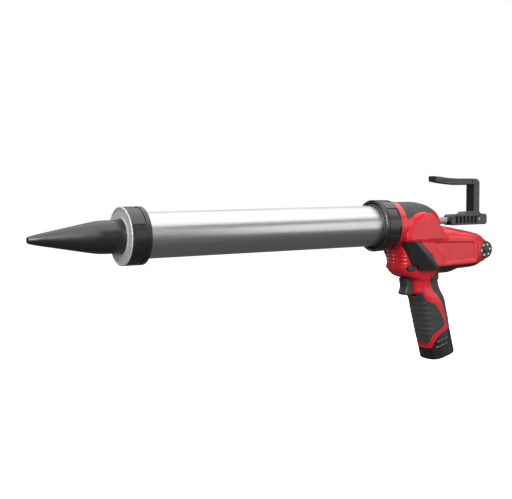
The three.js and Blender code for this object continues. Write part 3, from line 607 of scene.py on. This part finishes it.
def nose_body(x, y, z):
    front, back, b = read(NOSE_SECTIONS, z)
    section = rounded_section(x - (front + back) / 2, y, (back - front) / 2, b, 4.2)
    ripples = 0.45 * np.sin(z * 2 * math.pi / 5.2) * np.clip(cover_region(x, y, z) / 5 - 0.2, 0, 1)
    ripples = ripples * np.clip((z + 56) / 4, 0, 1) * np.clip((-28 - z) / 4, 0, 1)
    return smooth_max(section + ripples, slab(z, -75.2, -12), 1.0)


def case_body(x, y, z):
    radius, = read(CASE_RADII, x)
    slope = read(CASE_RADII, x + 0.5)[0] - read(CASE_RADII, x - 0.5)[0]
    around = np.hypot(y, z)
    band = smooth_max(around - 32.2, slab(x, 25.4, 35.2), 0.6)
    return np.minimum(np.maximum((around - radius) / np.hypot(1, slope), slab(x, 25.4, 108)), band)


def dome_body(x, y, z):
    reach, = read(PLATE_REACH, x)
    top, = read(DOME_REACH, x)
    below = np.clip((CHEEK_TOP + 2.5 - z) / 5, 0, 1)
    side = np.abs(y) - top + below * (top - reach)
    around = np.hypot(np.minimum(x - DOME[0], 0), z - DOME[1])
    disc = smooth_max(outline(DOME_EDGE, x, z), side, 0.8)
    disc = smooth_max(disc, (around - DOME_FACE) * 0.42 + side * 0.9, 1.0)
    return np.maximum(disc, CHEEK_TOP - 3 - z)


def cheek_body(x, y, z):
    """The seat of the side cover, below the dome: two flats that meet on a ridge beside its rear edge."""
    reach, = read(PLATE_REACH, x)
    ahead = -0.717 * (x - 58) - 0.697 * (z + 22)
    face = reach + 1.2 - 0.29 * np.abs(ahead - RIDGE_AHEAD)
    return smooth_max(cover_region(x, y, z), (np.abs(y) - face) * 0.96, 0.4)


def plate_body(x, y, z):
    reach, = read(PLATE_REACH, x)
    plate = smooth_max(outline(PLATE_EDGE, x, z), np.abs(y) - reach, 2.4)
    recess = smooth_max(outline(PANEL, x, z) * 0.8, reach - 1.0 - np.abs(y), 1.0)
    return smooth_max(plate, -recess, 1.2)


def web_body(x, y, z):
    return smooth_max(outline(WEB, x, z), np.abs(y) - 7.4, 1.5)


def body(x, y, z):
    """The whole outside of the housing."""
    made = smooth_min(grip_body(x, y, z), nose_body(x, y, z), 5)
    made = smooth_min(made, motor_body(x, y, z), 3.5)
    made = smooth_min(made, case_body(x, y, z), 1.2)
    made = smooth_min(made, plate_body(x, y, z), 0.8)
    made = smooth_min(made, cheek_body(x, y, z), 0.8)
    made = np.minimum(made, dome_body(x, y, z))
    return smooth_min(made, web_body(x, y, z), 2.5)


# ---------------------------------------------------------------- regions of the soft overmould

GRIP_REGION = curved(
    [
        (50, -88), (73, -92.8), (75.4, -96), (77.6, -100.7), (81, -105.3), (87, -108.9), (92.8, -110.9),
        (97, -114.4), (102, -120.8), (106.2, -127), (110.2, -134.3), (112.8, -142), (105.4, -147.2), (99.4, -150.2),
        (97.2, -152.4), (97, -176), (50, -176),
    ],
    1,
)
GRIP_UPPER_EDGE = table([(0, -104), (4, -103.2), (9.7, -99.6), (14.2, -95.6), (17, -93.6), (24, -92.4)])
GRIP_LOWER_EDGE = table(
    [
        # distance from the parting plane, height
        (0, -171.4), (5, -171), (8.6, -169.8), (12.6, -167), (15.3, -163), (17.5, -158), (19.7, -153.6),
        (21.3, -150.8), (24, -150.6),
    ]
)
STRAP_REGION = curved(
    [
        (85, -74.5), (86, -79), (88, -84), (90, -89.4), (92.4, -93.3), (97.8, -97.2), (101.6, -102.4),
        (106.5, -110.3), (110.8, -118.6), (113.7, -126.8), (115.2, -134.9), (113.8, -140.6), (130, -132.5),
        (150, -122), (150, -64), (106, -64), (97, -66.5),
    ],
    1,
)
COVER_REGION = [
    (36.8, -21.6), (58.4, -22), (66, -29.4), (79.9, -40.3), (87, -51.7), (93.4, -58.4), (94, -62.4),
    (80.2, -63), (66.7, -62.9), (60, -61.9), (58.9, -57), (56.2, -54.4), (49.6, -53.8), (42.4, -37.5), (38, -26),
]
PAD_REGION = [
    (35.6, 60), (35.3, 20), (35.9, 12.9), (38.2, 8.6), (46.5, 12.6), (53.9, 16), (62.7, 18.4), (70.5, 18.6),
    (79.3, 16.8), (85.6, 15), (91, 18.7), (93.4, 23), (94, 60),
]
BELLY_REGION = curved([(103, -58.9), (178, -59), (186, -62), (186, -80), (96, -80), (98, -64)], 1)
RIM_LINE = [
    (60, -176.2), (92.4, -176), (94.2, -175), (95.2, -172.6), (95.8, -166.6), (98.6, -159.6), (104.2, -154.8),
    (112.3, -150), (126.2, -144.4), (150, -134),
]


def grip_region(x, y, z):
    side = np.abs(y)
    upper, = read(GRIP_UPPER_EDGE, side)
    lower, = read(GRIP_LOWER_EDGE, side)
    return np.maximum(outline(GRIP_REGION, x, z), np.maximum(z - upper, lower - z) * 0.75)


def strap_region(x, y, z):
    return outline(STRAP_REGION, x, z)


def cover_region(x, y, z):
    return outline(COVER_REGION, x, z)


def pad_region(x, y, z):
    return outline(PAD_REGION, x, z)


def belly_region(x, y, z):
    return outline(BELLY_REGION, x, z)


def below_rim(x, z):
    """Distance from the space below the grip's lower edge."""
    return outline(RIM_LINE + [(150, -260), (60, -260)], x, z)


def skin(region, raised, edge, relief=None):
    """A soft piece let into the outside of the housing over a region."""

    def field(x, y, z):
        shell = body(x, y, z)
        face = shell - raised - (relief(x, y, z) if relief else 0)
        return np.maximum(smooth_max(face, region(x, y, z), edge), -(shell + SKIN))

    return field


def grip_ribs(x, y, z):
    """Ribs across the front of the grip, which fade out along its sides."""
    middle, a, b = read(GRIP_SECTIONS, z)
    behind = x - (middle - a)
    fade = np.clip((10 - behind) / 6, 0, 1) * np.clip((z + 161) / 3, 0, 1) * np.clip((-109 - z) / 3, 0, 1)
    wave = np.cos((z - 0.12 * behind) * 2 * math.pi / 7.4)
    return 0.7 * np.maximum(wave, 0) ** 2 * fade


# ---------------------------------------------------------------- housing


def button_bay(x, y, z):
    return rounded_section(x - BUTTON[0], z - BUTTON[1], 7.4, 4.0, 2.6)


def trigger_bay(x, y, z):
    mouth = [(36, -73), (67, -73), (76, -77), (76, -96.5), (70, -99.2), (36, -99.2)]
    return smooth_max(outline(mouth, x, z), np.abs(y) - 9.5, 1.2)


def prism(x, y, z, a, b, top, bottom):
    middle = GRIP_MIDDLE + (GRIP_TOP - z) * RAKE
    return np.maximum(rounded_section(x - middle, y, a, b, 3), slab(z, bottom, top))


def hollow(x, y, z, shell):
    """Everything taken out of the housing's inside."""
    side = np.abs(y)
    inner = shell + WALL
    bays = [
        np.maximum(inner, block(x, side, z, 33.5, 103, -1, 60, -67.5, 26)),
        np.maximum(inner, block(x, side, z, 90, 184, -1, 60, -66, -10)),
        np.maximum(np.hypot(y, z) - 29.4, slab(x, 20, 34)),
        block(x, side, z, 20, 140, -1, RACK_HALF + 0.7, -2.3, RACK_TOP + 0.8),
        block(x, side, z, 95.6, 107.9, -1, 8.4, -6.4, 12.4),
        prism(x, y, z, 19.9, 19.2, -107, -230),
        block(x, side, z, 69, 104, -1, 12.5, -100.5, -60),
        block(x, side, z, 84, 102, -1, 10, -109, -98),
        trigger_bay(x, y, z),
        button_bay(x, y, z),
        np.maximum(np.hypot(x - DIAL[0], z - DIAL[1]) - 13.4, 7.7 - side),
        np.hypot(x - DIAL[0], z - DIAL[1]) - 2.6,
        below_rim(x, z),
    ]
    made = bays[0]
    for bay in bays[1:]:
        made = np.minimum(made, bay)
    return made


def bosses(x, y, z, shell):
    made = np.inf
    for sx, sz in SCREWS:
        made = np.minimum(made, np.hypot(x - sx, z - sz) - 3.8)
    return np.maximum(made, shell + 0.5)


def seats(x, y, z, shell):
    """The overmoulds' seats, each a little larger than its piece."""
    region = grip_region(x, y, z)
    for other in (strap_region, cover_region, pad_region, belly_region):
        region = np.minimum(region, other(x, y, z))
    return np.maximum(region - SEAT_GAP, -(shell + SKIN + 0.1))


def housing(side):
    """One half of the housing; side is -1 for the left half and 1 for the right."""

    def field(x, y, z):
        shell = body(x, y, z)
        seam = np.hypot(shell, y) - 0.5
        made = np.maximum(shell, -hollow(x, y, z, shell))
        made = np.minimum(made, bosses(x, y, z, shell))
        made = np.maximum(made, -seats(x, y, z, shell))
        made = np.maximum(made, -seam)
        for sx, sz in SCREWS:
            around = np.hypot(x - sx, z - sz)
            made = np.maximum(made, -np.maximum(around - 1.6, -9 - y))
            if side > 0:
                made = np.maximum(made, -np.maximum(around - 3.0, 7.5 - y))
        return np.maximum(made, HALF_GAP - side * y)

    return field


def add_housing():
    for name, side in (("left", -1), ("right", 1)):
        across = sorted((side * 0.0, side * 35.2))
        low, high = (24, across[0], -178), (208, across[1], 33.5)
        made = contour(f"housing_{name}_shell", housing(side), low, high, 0.72)
        fit(made, "red_plastic", "tool", f"housing_{name}")


def add_overmoulds():
    def halved(field, side):
        return lambda x, y, z: np.maximum(field(x, y, z), HALF_GAP - side * y)

    grip = skin(grip_region, 0.35, 0.9, grip_ribs)
    cover = skin(cover_region, 0.9, 0.5)

    def grip_clear(x, y, z):
        return np.maximum(grip(x, y, z), -trigger_bay(x, y, z))

    for name, side in (("left", -1), ("right", 1)):
        low, high = sorted((0.0, side * 24))
        made = contour(f"grip_{name}_rubber", halved(grip_clear, side), (62, low, -168), (122, high, -92), 0.6)
        fit(made, "soft_grip", "tool", f"grip_{name}")
        low, high = sorted((side * 14.0, side * 34.5))
        made = contour(f"side_cover_{name}_rubber", halved(cover, side), (34, low, -64), (96, high, -19), 0.55)
        fit(made, "black_plastic", "tool", f"side_cover_{name}")
    strap = skin(strap_region, 0.45, 0.9)
    made = contour("back_strap_rubber", strap, (88, -24, -142), (134, 24, -71), 0.6)
    fit(made, "soft_grip", "tool", "back_strap")
    pad = skin(pad_region, 0.1, 0.7)
    made = contour("top_pad_rubber", pad, (36, -33, 7), (104, 33, 33), 0.6)
    fit(made, "soft_grip", "tool", "top_pad")
    belly = skin(belly_region, 0.35, 0.9)
    made = contour("belly_strip_cover", belly, (96, -28, -72), (189, 28, -58), 0.6)
    fit(made, "black_plastic", "tool", "belly_strip")


# ---------------------------------------------------------------- barrel, rings and nozzle


def flange_field(x, y, z):
    """The sleeve behind the tube: a fluted cone in the collar's mouth, and the flange that the collar grips."""
    around = np.hypot(y, z)
    flutes = 0.2 * np.cos(72 * np.arctan2(z, y)) * np.clip((3 - x) / 1.5, 0, 1)
    cone = (around + flutes - 28.6 - 0.45 * np.clip(x + 2, 0, 4)) * 0.9
    made = smooth_max(cone, slab(x, -2, 15.4), 0.3)
    made = np.minimum(made, smooth_max(around - 31.9, slab(x, 11.4, 15.4), 0.4))
    return np.maximum(made, 27.8 - around)


def add_barrel():
    tube = [(-359.8, 25.7), (-359.8, 27.5), (14, 27.5), (14, 25.7)]
    fit(turned("barrel_tube_drawn", tube, 220, 0.3), "tube_metal", "barrel", "barrel_tube")
    made = contour("rear_flange_sleeve", flange_field, (-2.1, -32, -32), (15.5, 32, 32), 0.55)
    fit(made, "black_plastic", "barrel", "barrel_rear_flange")
    clip = [(0.2, 32.8), (0.2, 31.9), (5.4, 30.8), (5.4, 32.8)]
    fit(turned("collar_clip_ring", clip, 180, 0.25), "bright_steel", "barrel", "collar_circlip")


def add_nozzle():
    places, radii = table(
        [
            (-476.2, 3.9), (-469.2, 5.7), (-451, 9.15), (-432.5, 12.55), (-413.6, 16.05), (-404, 17.7),
            (-399, 18.5), (-393, 19.15), (-384.6, 19.45), (-370, 19.6), (-364.9, 19.8),
        ],
        48,
    )
    outside = [(-477, 2.4), (-477, 3.3)] + list(zip(places, radii[:, 0])) + [(-364.9, 30), (-361.9, 30)]
    inside = [(-361.9, 17.3), (-384, 17.2), (-393, 17), (-404, 15.6), (-440, 9.2)]
    made = turned("nozzle_cone", outside + inside, 200, 0.5, 24)
    fit(made, "black_plastic", "nozzle", "nozzle")


def pads_round(y, z, count, first, wide, radius):
    """Sideways distance from the nearest of the recesses round a ring, in degrees above -Y."""
    turn = np.degrees(np.arctan2(z, -y))
    step = 360 / count
    off = (turn - first + step / 2) % step - step / 2
    return (np.abs(off) - wide / 2) * math.pi / 180 * radius


def front_ring_field(x, y, z):
    around = np.hypot(y, z)
    made = smooth_max(around - 34.5, slab(x, -367.3, -341.3), 1.0)
    recess = smooth_max(pads_round(y, z, 5, 13.75, 23.5, 34), slab(x, -365.6, -347.4), 0.8)
    made = smooth_max(made, -np.maximum(recess, 33.3 - around), 0.5)
    made = np.maximum(made, -np.maximum(slab(x, -348.4, -347.2), 33.3 - around))
    dish = np.maximum(slab(around, 22.6, 32.4), slab(x, -369, -366.6))
    made = smooth_max(made, -dish, 0.4)
    bore = np.maximum(around - 20.4, slab(x, -380, -360))
    bore = np.minimum(bore, np.maximum(around - 30.6, slab(x, -365.2, -330)))
    return np.maximum(made, -bore)


def collar_field(x, y, z):
    around = np.hypot(y, z)
    outer = around + 0.03 * x
    made = smooth_max(outer - 35, slab(x, 0, 25), 0.9)
    recess = smooth_max(pads_round(y, z, 8, 34, 21.5, 35), slab(x, 6, 23), 0.8)
    made = smooth_max(made, -np.maximum(recess, 33.9 - outer), 0.4)
    made = np.maximum(made, -np.maximum(slab(x, 3.2, 4.6), 34.1 - outer))
    bore = np.minimum(np.maximum(around - 33.1, x - 6), np.maximum(around - 30.6, slab(x, 5, 12)))
    bore = np.minimum(bore, np.maximum(around - 32.3, slab(x, 11.1, 40)))
    return smooth_max(made, -bore, 0.5)


def add_rings():
    made = contour("front_ring_cap", front_ring_field, (-367.5, -34.6, -34.6), (-341.2, 34.6, 34.6), 0.55)
    fit(made, "black_plastic", "front_ring", "front_ring")
    # The ring's front face gets the pale grey painted sheen.
    paint(made, lambda x, y, z: (x < -366.0) & (np.hypot(y, z) > 20.6), FINISH["painted_ring_sheen"])
    made = contour("rear_collar_ring", collar_field, (-0.1, -35.1, -35.1), (25.1, 35.1, 35.1), 0.55)
    fit(made, "black_plastic", "collar", "rear_collar")


# ---------------------------------------------------------------- rack and hook


def rack_outline():
    front, rear, root, tip = -341.7, 196.0, 1.9, -1.5
    points = [(rear, RACK_TOP), (front, RACK_TOP), (front, root)]
    first = math.ceil((-328 - DRIVE[0]) / RACK_PITCH)
    last = math.floor((134 - DRIVE[0]) / RACK_PITCH)
    for k in range(first, last):
        middle = DRIVE[0] + (k + 0.5) * RACK_PITCH
        for off, height in ((-1.7, root), (-0.5, tip), (0.5, tip), (1.7, root)):
            points.append((middle + off, height))
    return points + [(rear, root)]


def extruded(name, points, half, bevel):
    """An outline in the XZ plane as a bar across the tool, with bevelled edges."""
    shape = bmesh.new()
    corners = [shape.verts.new(to_row((x, -half, z))) for x, z in points]
    face = shape.faces.new(corners)
    grown = bmesh.ops.extrude_face_region(shape, geom=[face])
    moved = [v for v in grown["geom"] if isinstance(v, bmesh.types.BMVert)]
    bmesh.ops.translate(shape, verts=moved, vec=(0, 2 * half * MM, 0))
    bmesh.ops.recalc_face_normals(shape, faces=shape.faces)
    rims = [e for e in shape.edges if len({round(v.co.y, 6) for v in e.verts}) == 1]
    bmesh.ops.bevel(shape, geom=rims, offset=bevel * MM, segments=2, profile=0.5, affect="EDGES")
    bmesh.ops.triangulate(shape, faces=[f for f in shape.faces if len(f.verts) > 4])
    mesh = bpy.data.meshes.new(name)
    shape.to_mesh(mesh)
    shape.free()
    return shown(name, mesh, 25)


def hook_field(x, y, z):
    side = np.abs(y)
    width = side - 8.5
    sleeve = [
        (136, -3.0), (138, -3.7), (202, -3.9), (204.6, -1.4), (204.6, 9), (202.5, 11.4), (139, 11.6), (136, 9),
    ]
    gusset = [(159, 11), (164.5, 15), (190, 15), (195, 11)]
    arm = [
        (178.6, 8), (190, 8), (190, 56.5), (188.4, 60.2), (184.5, 62.4), (172, 62.8), (150, 62.9), (130, 64),
        (116, 65.7), (106.7, 66.5), (106.5, 58.8), (116, 57), (130, 55.2), (148, 53.5), (178.6, 53.5),
    ]
    made = smooth_max(outline(sleeve, x, z), width, 1.2)
    made = smooth_min(made, smooth_max(outline(gusset, x, z), width + 0.6, 1.2), 1.0)
    made = smooth_min(made, smooth_max(outline(arm, x, z), width, 1.8), 1.0)
    for k in range(6):
        start = 143 + 7.2 * k
        pocket = np.maximum(slab(x, start, start + 5.2), slab(z, -1.2, 8.8))
        made = smooth_max(made, -np.maximum(pocket, 5.9 - side), 0.5)
    channel = np.maximum(slab(z, 56, 60.6), slab(x, 112, 176))
    made = smooth_max(made, -np.maximum(channel, 7.9 - side), 0.5)
    core = block(x, side, z, 130, 197, -1, RACK_HALF + 0.3, -1.8, RACK_TOP + 0.3)
    pin = np.hypot(x - 190, z - 4.2) - 2.3
    return np.maximum(made, -np.minimum(core, pin))


def add_rack():
    fit(extruded("rack_toothed_bar", rack_outline(), RACK_HALF, 0.35), "bright_steel", "rack", "rack_bar")
    made = contour("hook_handle_moulding", hook_field, (105.5, -8.6, -4.2), (205, 8.6, 67), 0.6)
    fit(made, "black_plastic", "rack", "hook_handle")

    def pin(x, y, z):
        around = np.hypot(x - 190, z - 4.2)
        ends = np.abs(y) - 8.3
        made = smooth_max(around - 2.0, ends, 0.5)
        return np.maximum(made, -np.maximum(around - 0.8, -ends - 0.6))

    made = contour("hook_roll_pin", pin, (187.8, -8.4, 2), (192.2, 8.4, 6.4), 0.2)
    fit(made, "bright_steel", "rack", "hook_pin")


# ---------------------------------------------------------------- controls

TRIGGER = curved(
    [
        (51.4, -74.2), (52.6, -79.5), (53.9, -85.5), (52.8, -90.5), (50.4, -95), (52, -98), (60, -98.8), (68, -98.4),
        (68, -74.2),
    ],
    1,
)


def trigger_field(x, y, z):
    side = np.abs(y)
    bow = 0.018 * side * side
    made = smooth_max(outline(TRIGGER, x - bow, z), side - 9, 3.0)
    made = np.minimum(made, block(x, side, z, 66, 74, -1, 4, -92, -84))
    return np.maximum(made, -np.maximum(np.hypot(y, z + 88) - 3.2, 62 - x))


def button_field(x, y, z):
    around = rounded_section(x - BUTTON[0], z - BUTTON[1], 7.0, 3.6, 2.6)
    made = smooth_max(around, np.abs(y) - 24.4, 1.0)
    disc = np.hypot(x - BUTTON[0], z - BUTTON[1]) - 2.5
    return smooth_max(made, -np.maximum(np.abs(disc) - 0.35, 23.7 - np.abs(y)), 0.3)


def dial_field(x, y, z):
    dx, dz, side = x - DIAL[0], z - DIAL[1], np.abs(y)
    around = np.hypot(dx, dz)
    grip = 0.45 * np.cos(18 * np.arctan2(dz, dx)) * np.clip((around - 9) / 2, 0, 1)
    knob = smooth_max(around - 12.4 + grip, slab(side, 8.2, 20.4), 1.6)
    hub = smooth_max(around - 3.6, slab(side, 8.2, 21.6), 1.4)
    dish = np.maximum(np.maximum(around - 10.8, 4.4 - around), 19.4 - side)
    knob = np.minimum(smooth_max(knob, -dish, 0.6), hub)
    for k in range(6):
        turn = math.radians(7 + 60 * k)
        off = np.hypot(dx - 8.0 * math.cos(turn), dz - 8.0 * math.sin(turn))
        knob = np.minimum(knob, smooth_max(off - 1.45, slab(side, 18, 20.2), 0.4))
    return np.minimum(knob, np.maximum(around - 2, side - 10))


def dial_marks(x, y, z):
    """The pips on the knobs' faces."""
    dx, dz = x - DIAL[0], z - DIAL[1]
    picked = np.zeros(len(x), bool)
    for k in range(6):
        turn = math.radians(7 + 60 * k)
        picked |= np.hypot(dx - 8.0 * math.cos(turn), dz - 8.0 * math.sin(turn)) < 1.6
    return picked & (np.abs(y) > 19.6)


def screw_field(sx, sz):
    def field(x, y, z):
        around = np.hypot(x - sx, z - sz)
        head = smooth_max(around - 2.6, slab(y, 8.4, 10.8), 0.6)
        star = around - 1.15 - 0.3 * np.cos(6 * np.arctan2(z - sz, x - sx))
        head = np.maximum(head, -np.maximum(star, 9.4 - y))
        return np.minimum(head, smooth_max(around - 1.2, slab(y, -8, 9), 0.5))

    return field


def add_controls():
    made = contour("trigger_lever", trigger_field, (50, -9.2, -99), (74.5, 9.2, -74), 0.45)
    fit(made, "satin_black", "trigger", "trigger")
    made = contour("lock_button_bar", button_field, (43, -25.8, -63), (58, 25.8, -55), 0.4)
    fit(made, "black_plastic", "lock_button", "lock_button")
    made = contour("speed_dial_knobs", dial_field, (179, -21.8, -53), (205, 21.8, -27), 0.4)
    fit(made, "black_plastic", "speed_dial", "speed_dial")
    paint(made, dial_marks, FINISH["dial_mark"])
    for i, (sx, sz) in enumerate(SCREWS):
        low, high = (sx - 2.8, -8.1, sz - 2.8), (sx + 2.8, 10.9, sz + 2.8)
        made = contour(f"housing_screw_head_{i + 1}", screw_field(sx, sz), low, high, 0.25)
        fit(made, "bright_steel", "tool", f"housing_screw_{i + 1}")


# ---------------------------------------------------------------- battery

LATCH = curved(
    [(100.4, -165), (106, -159.6), (119, -151.6), (122.5, -158), (120, -169), (101, -177), (97.6, -174.6)], 1
)
RIDGES = [((100.5, -166), (117.5, -160.2)), ((99.4, -174), (116.8, -168.4))]
BASE = -187.5  # the middle of the base, which is square to the handle
BASE_MIDDLE = GRIP_MIDDLE + (GRIP_TOP - BASE) * RAKE


def above_base(x, z, lift):
    """Distance from the space above a plane square to the handle, a height above the base."""
    return (BASE + lift + (x - BASE_MIDDLE) * RAKE - z) / math.hypot(1, RAKE)


def foot_outside(x, y, z):
    middle = GRIP_MIDDLE + (GRIP_TOP - z) * RAKE
    around = rounded_section(x - middle, y, 22.2, 21.9, 3)
    return smooth_max(around, above_base(x, z, -0.4), 2.6)


def battery_field(x, y, z):
    side = np.abs(y)
    foot = smooth_max(foot_outside(x, y, z), below_rim(x, z) + 0.45, 0.8)
    stem = prism(x, y, z, 19.6, 18.9, -110, -178)
    made = np.minimum(foot, stem)
    made = np.maximum(made, -np.maximum(prism(x, y, z, 18.2, 17.5, -115, -230), above_base(x, z, 2)))
    made = np.maximum(made, -block(x, side, z, 60, 140, -1, 14, -130, -108))
    nick = np.maximum(segment(x, z, (91.5, -180.5), (96, -175.6)) - 0.5, 17 - side)
    made = smooth_max(made, -np.maximum(nick, -foot_outside(x, y, z) - 0.9), 0.4)
    return np.maximum(made, -np.maximum(outline(LATCH, x, z) - 0.35, 18.3 - side))


def segment(x, z, start, stop):
    """Distance from a straight line between two points in the XZ plane."""
    ex, ez = stop[0] - start[0], stop[1] - start[1]
    along = np.clip(((x - start[0]) * ex + (z - start[1]) * ez) / (ex * ex + ez * ez), 0, 1)
    return np.hypot(x - start[0] - along * ex, z - start[1] - along * ez)


def ridge_distance(x, z):
    first, second = (segment(x, z, start, stop) for start, stop in RIDGES)
    return np.minimum(first, second)


def latch_field(side):
    def field(x, y, z):
        outside = foot_outside(x, y, z) + 0.15
        raised = 0.75 * np.clip((1.5 - ridge_distance(x, z)) / 1.1, 0, 1)
        made = smooth_max(outside - raised, outline(LATCH, x, z), 0.8)
        return np.maximum(made, 19.6 - side * y)

    return field


def add_battery():
    made = contour("battery_case_shell", battery_field, (76, -22.3, -194.5), (143, 22.3, -109), 0.65)
    fit(made, "black_plastic", "battery", "battery_case")
    for name, side in (("left", -1), ("right", 1)):
        low, high = sorted((side * 19.5, side * 24))
        made = contour(f"latch_{name}_plate", latch_field(side), (96, low, -179), (124, high, -150), 0.4)
        fit(made, "black_plastic", f"latch_{name}", f"latch_{name}")
        # The ridges' tops are painted a paler grey as a highlight.
        paint(made, lambda x, y, z: ridge_distance(x, z) < 0.5, FINISH["ridge_highlight_black"])


# ---------------------------------------------------------------- CAD nodes that stay

KEPT = {
    "cast_zinc": ["barrel_frame", "gear_plate_left", "gear_plate_right", "gearbox_case"],
    "bronze": [
        "output_bush_left", "output_bush_right", "layshaft_bush_left", "layshaft_bush_right",
        "rack_guide_front", "crown_gear",
    ],
    "gear_steel": [
        "drive_pinion", "output_gear", "planet_carrier", "planet_gear_1", "planet_gear_2", "planet_gear_3",
    ],
    "bright_steel": ["motor_can", "trigger_spring", "piston_bolt"],
    "black_plastic": ["front_thread_sleeve", "rack_guide_rear", "switch_body", "piston"],
    "seal_rubber": ["front_gasket"],
    "white_nylon": ["piston_seal", "motor_end_bell", "battery_terminals"],
    "motor_windings": ["motor_rotor"],
    "cell_wrap": ["battery_cell_1", "battery_cell_2", "battery_cell_3"],
}


def dress_kept_nodes():
    for finish, names in KEPT.items():
        for name in names:
            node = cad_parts[name]
            if not node.material_slots:
                node.data.materials.append(FINISH[finish])
            for place in node.material_slots:
                place.material = FINISH[finish]
            node.data.set_sharp_from_angle(angle=math.radians(30))


# ---------------------------------------------------------------- stage, camera and lights

ROOM_LIGHT = (0.13, 0.13, 0.135)  # what the room sends to the tool from every side
FLOOR_GLOW = 0.9
FLOOR_DROP = 0.1  # metres below the tool, so that the battery can slide out above the floor


def seen_directly(tree):
    """1 for what the camera sees straight on, and 0 for light on its way to a surface."""
    return tree.nodes.new("ShaderNodeLightPath").outputs["Is Camera Ray"]


def add_floor():
    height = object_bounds()[0].z - FLOOR_DROP
    reach = 6.0
    mesh = bpy.data.meshes.new("floor")
    corners = [(-reach, -reach), (reach, -reach), (reach, reach), (-reach, reach)]
    mesh.from_pydata([(x, y, height) for x, y in corners], [], [(0, 1, 2, 3)])
    floor = bpy.data.objects.new("floor", mesh)
    bpy.context.scene.collection.objects.link(floor)
    n = Nodes("floor_paper")
    paper = n.mix(n.noise(3, 2), (0.8, 0.8, 0.8), (0.84, 0.84, 0.84))
    shade = n.mix(n.noise(3, 2), (0.06, 0.06, 0.06), (0.07, 0.07, 0.07))
    n.set(Base_Color=n.mix(seen_directly(n.tree), shade, paper), Roughness=0.9)
    glow = n.mix(seen_directly(n.tree), (0, 0, 0), (1, 1, 1))
    mesh.materials.append(n.set(Emission_Color=glow, Emission_Strength=FLOOR_GLOW))


def add_world():
    world = bpy.data.worlds.new("studio")
    world.use_nodes = True
    tree = world.node_tree
    mix = tree.nodes.new("ShaderNodeMix")
    mix.data_type = "RGBA"
    tree.links.new(seen_directly(tree), mix.inputs[0])
    mix.inputs[6].default_value = (*ROOM_LIGHT, 1)
    mix.inputs[7].default_value = (1, 1, 1, 1)
    tree.links.new(mix.outputs[2], tree.nodes["Background"].inputs["Color"])
    bpy.context.scene.world = world


def add_light(name, place, target, size, power):
    light = bpy.data.lights.new(name, "AREA")
    light.shape = "RECTANGLE"
    light.size, light.size_y = size
    light.energy = power
    made = bpy.data.objects.new(name, light)
    made.location = place
    made.rotation_euler = (Vector(target) - Vector(place)).to_track_quat("-Z", "Y").to_euler()
    bpy.context.scene.collection.objects.link(made)
    return made


CAMERA_PLACE = (-796.75, -1018.79, 68.92)  # tool frame, millimetres
CAMERA_TURN = math.radians(-31.03)  # from looking along +Y
CAMERA_RISE = math.radians(4.45)
CAMERA_ROLL = math.radians(-0.43)


def add_camera():
    back = Vector(
        (
            math.sin(CAMERA_TURN) * math.cos(CAMERA_RISE),
            -math.cos(CAMERA_TURN) * math.cos(CAMERA_RISE),
            math.sin(CAMERA_RISE),
        )
    )
    right = (-back).cross(Vector((0, 0, 1))).normalized()
    up = right.cross(-back)
    tilted_right = right * math.cos(CAMERA_ROLL) + up * math.sin(CAMERA_ROLL)
    tilted_up = up * math.cos(CAMERA_ROLL) - right * math.sin(CAMERA_ROLL)
    camera = bpy.data.objects.new("camera", bpy.data.cameras.new("camera"))
    camera.data.lens = 66.65
    camera.data.sensor_width = 36
    turn = Matrix((tilted_right, tilted_up, back)).transposed()
    camera.matrix_world = Matrix.Translation(to_row(CAMERA_PLACE)) @ turn.to_4x4()
    bpy.context.scene.collection.objects.link(camera)
    bpy.context.scene.camera = camera


def add_lights():
    add_light("overhead", (0.2, 0.1, 1.35), (0.2, 0.08, 0.2), (3.0, 2.4), 36)
    add_light("key", (-1.3, -1.6, 1.05), (-0.1, 0, 0.15), (1.2, 1.5), 46)
    add_light("fill", (1.05, -1.35, 0.36), (0, 0, 0.2), (1.5, 1.2), 6.5)
    add_light("back", (0.2, 1.6, 0.7), (0, 0, 0.15), (2.0, 0.9), 4.5)
    bpy.context.scene.view_settings.view_transform = "Standard"


# ---------------------------------------------------------------- everything

add_barrel()
add_nozzle()
add_rings()
add_rack()
add_controls()
add_battery()
add_overmoulds()
add_housing()
dress_kept_nodes()
add_floor()
add_world()
add_camera()
add_lights()
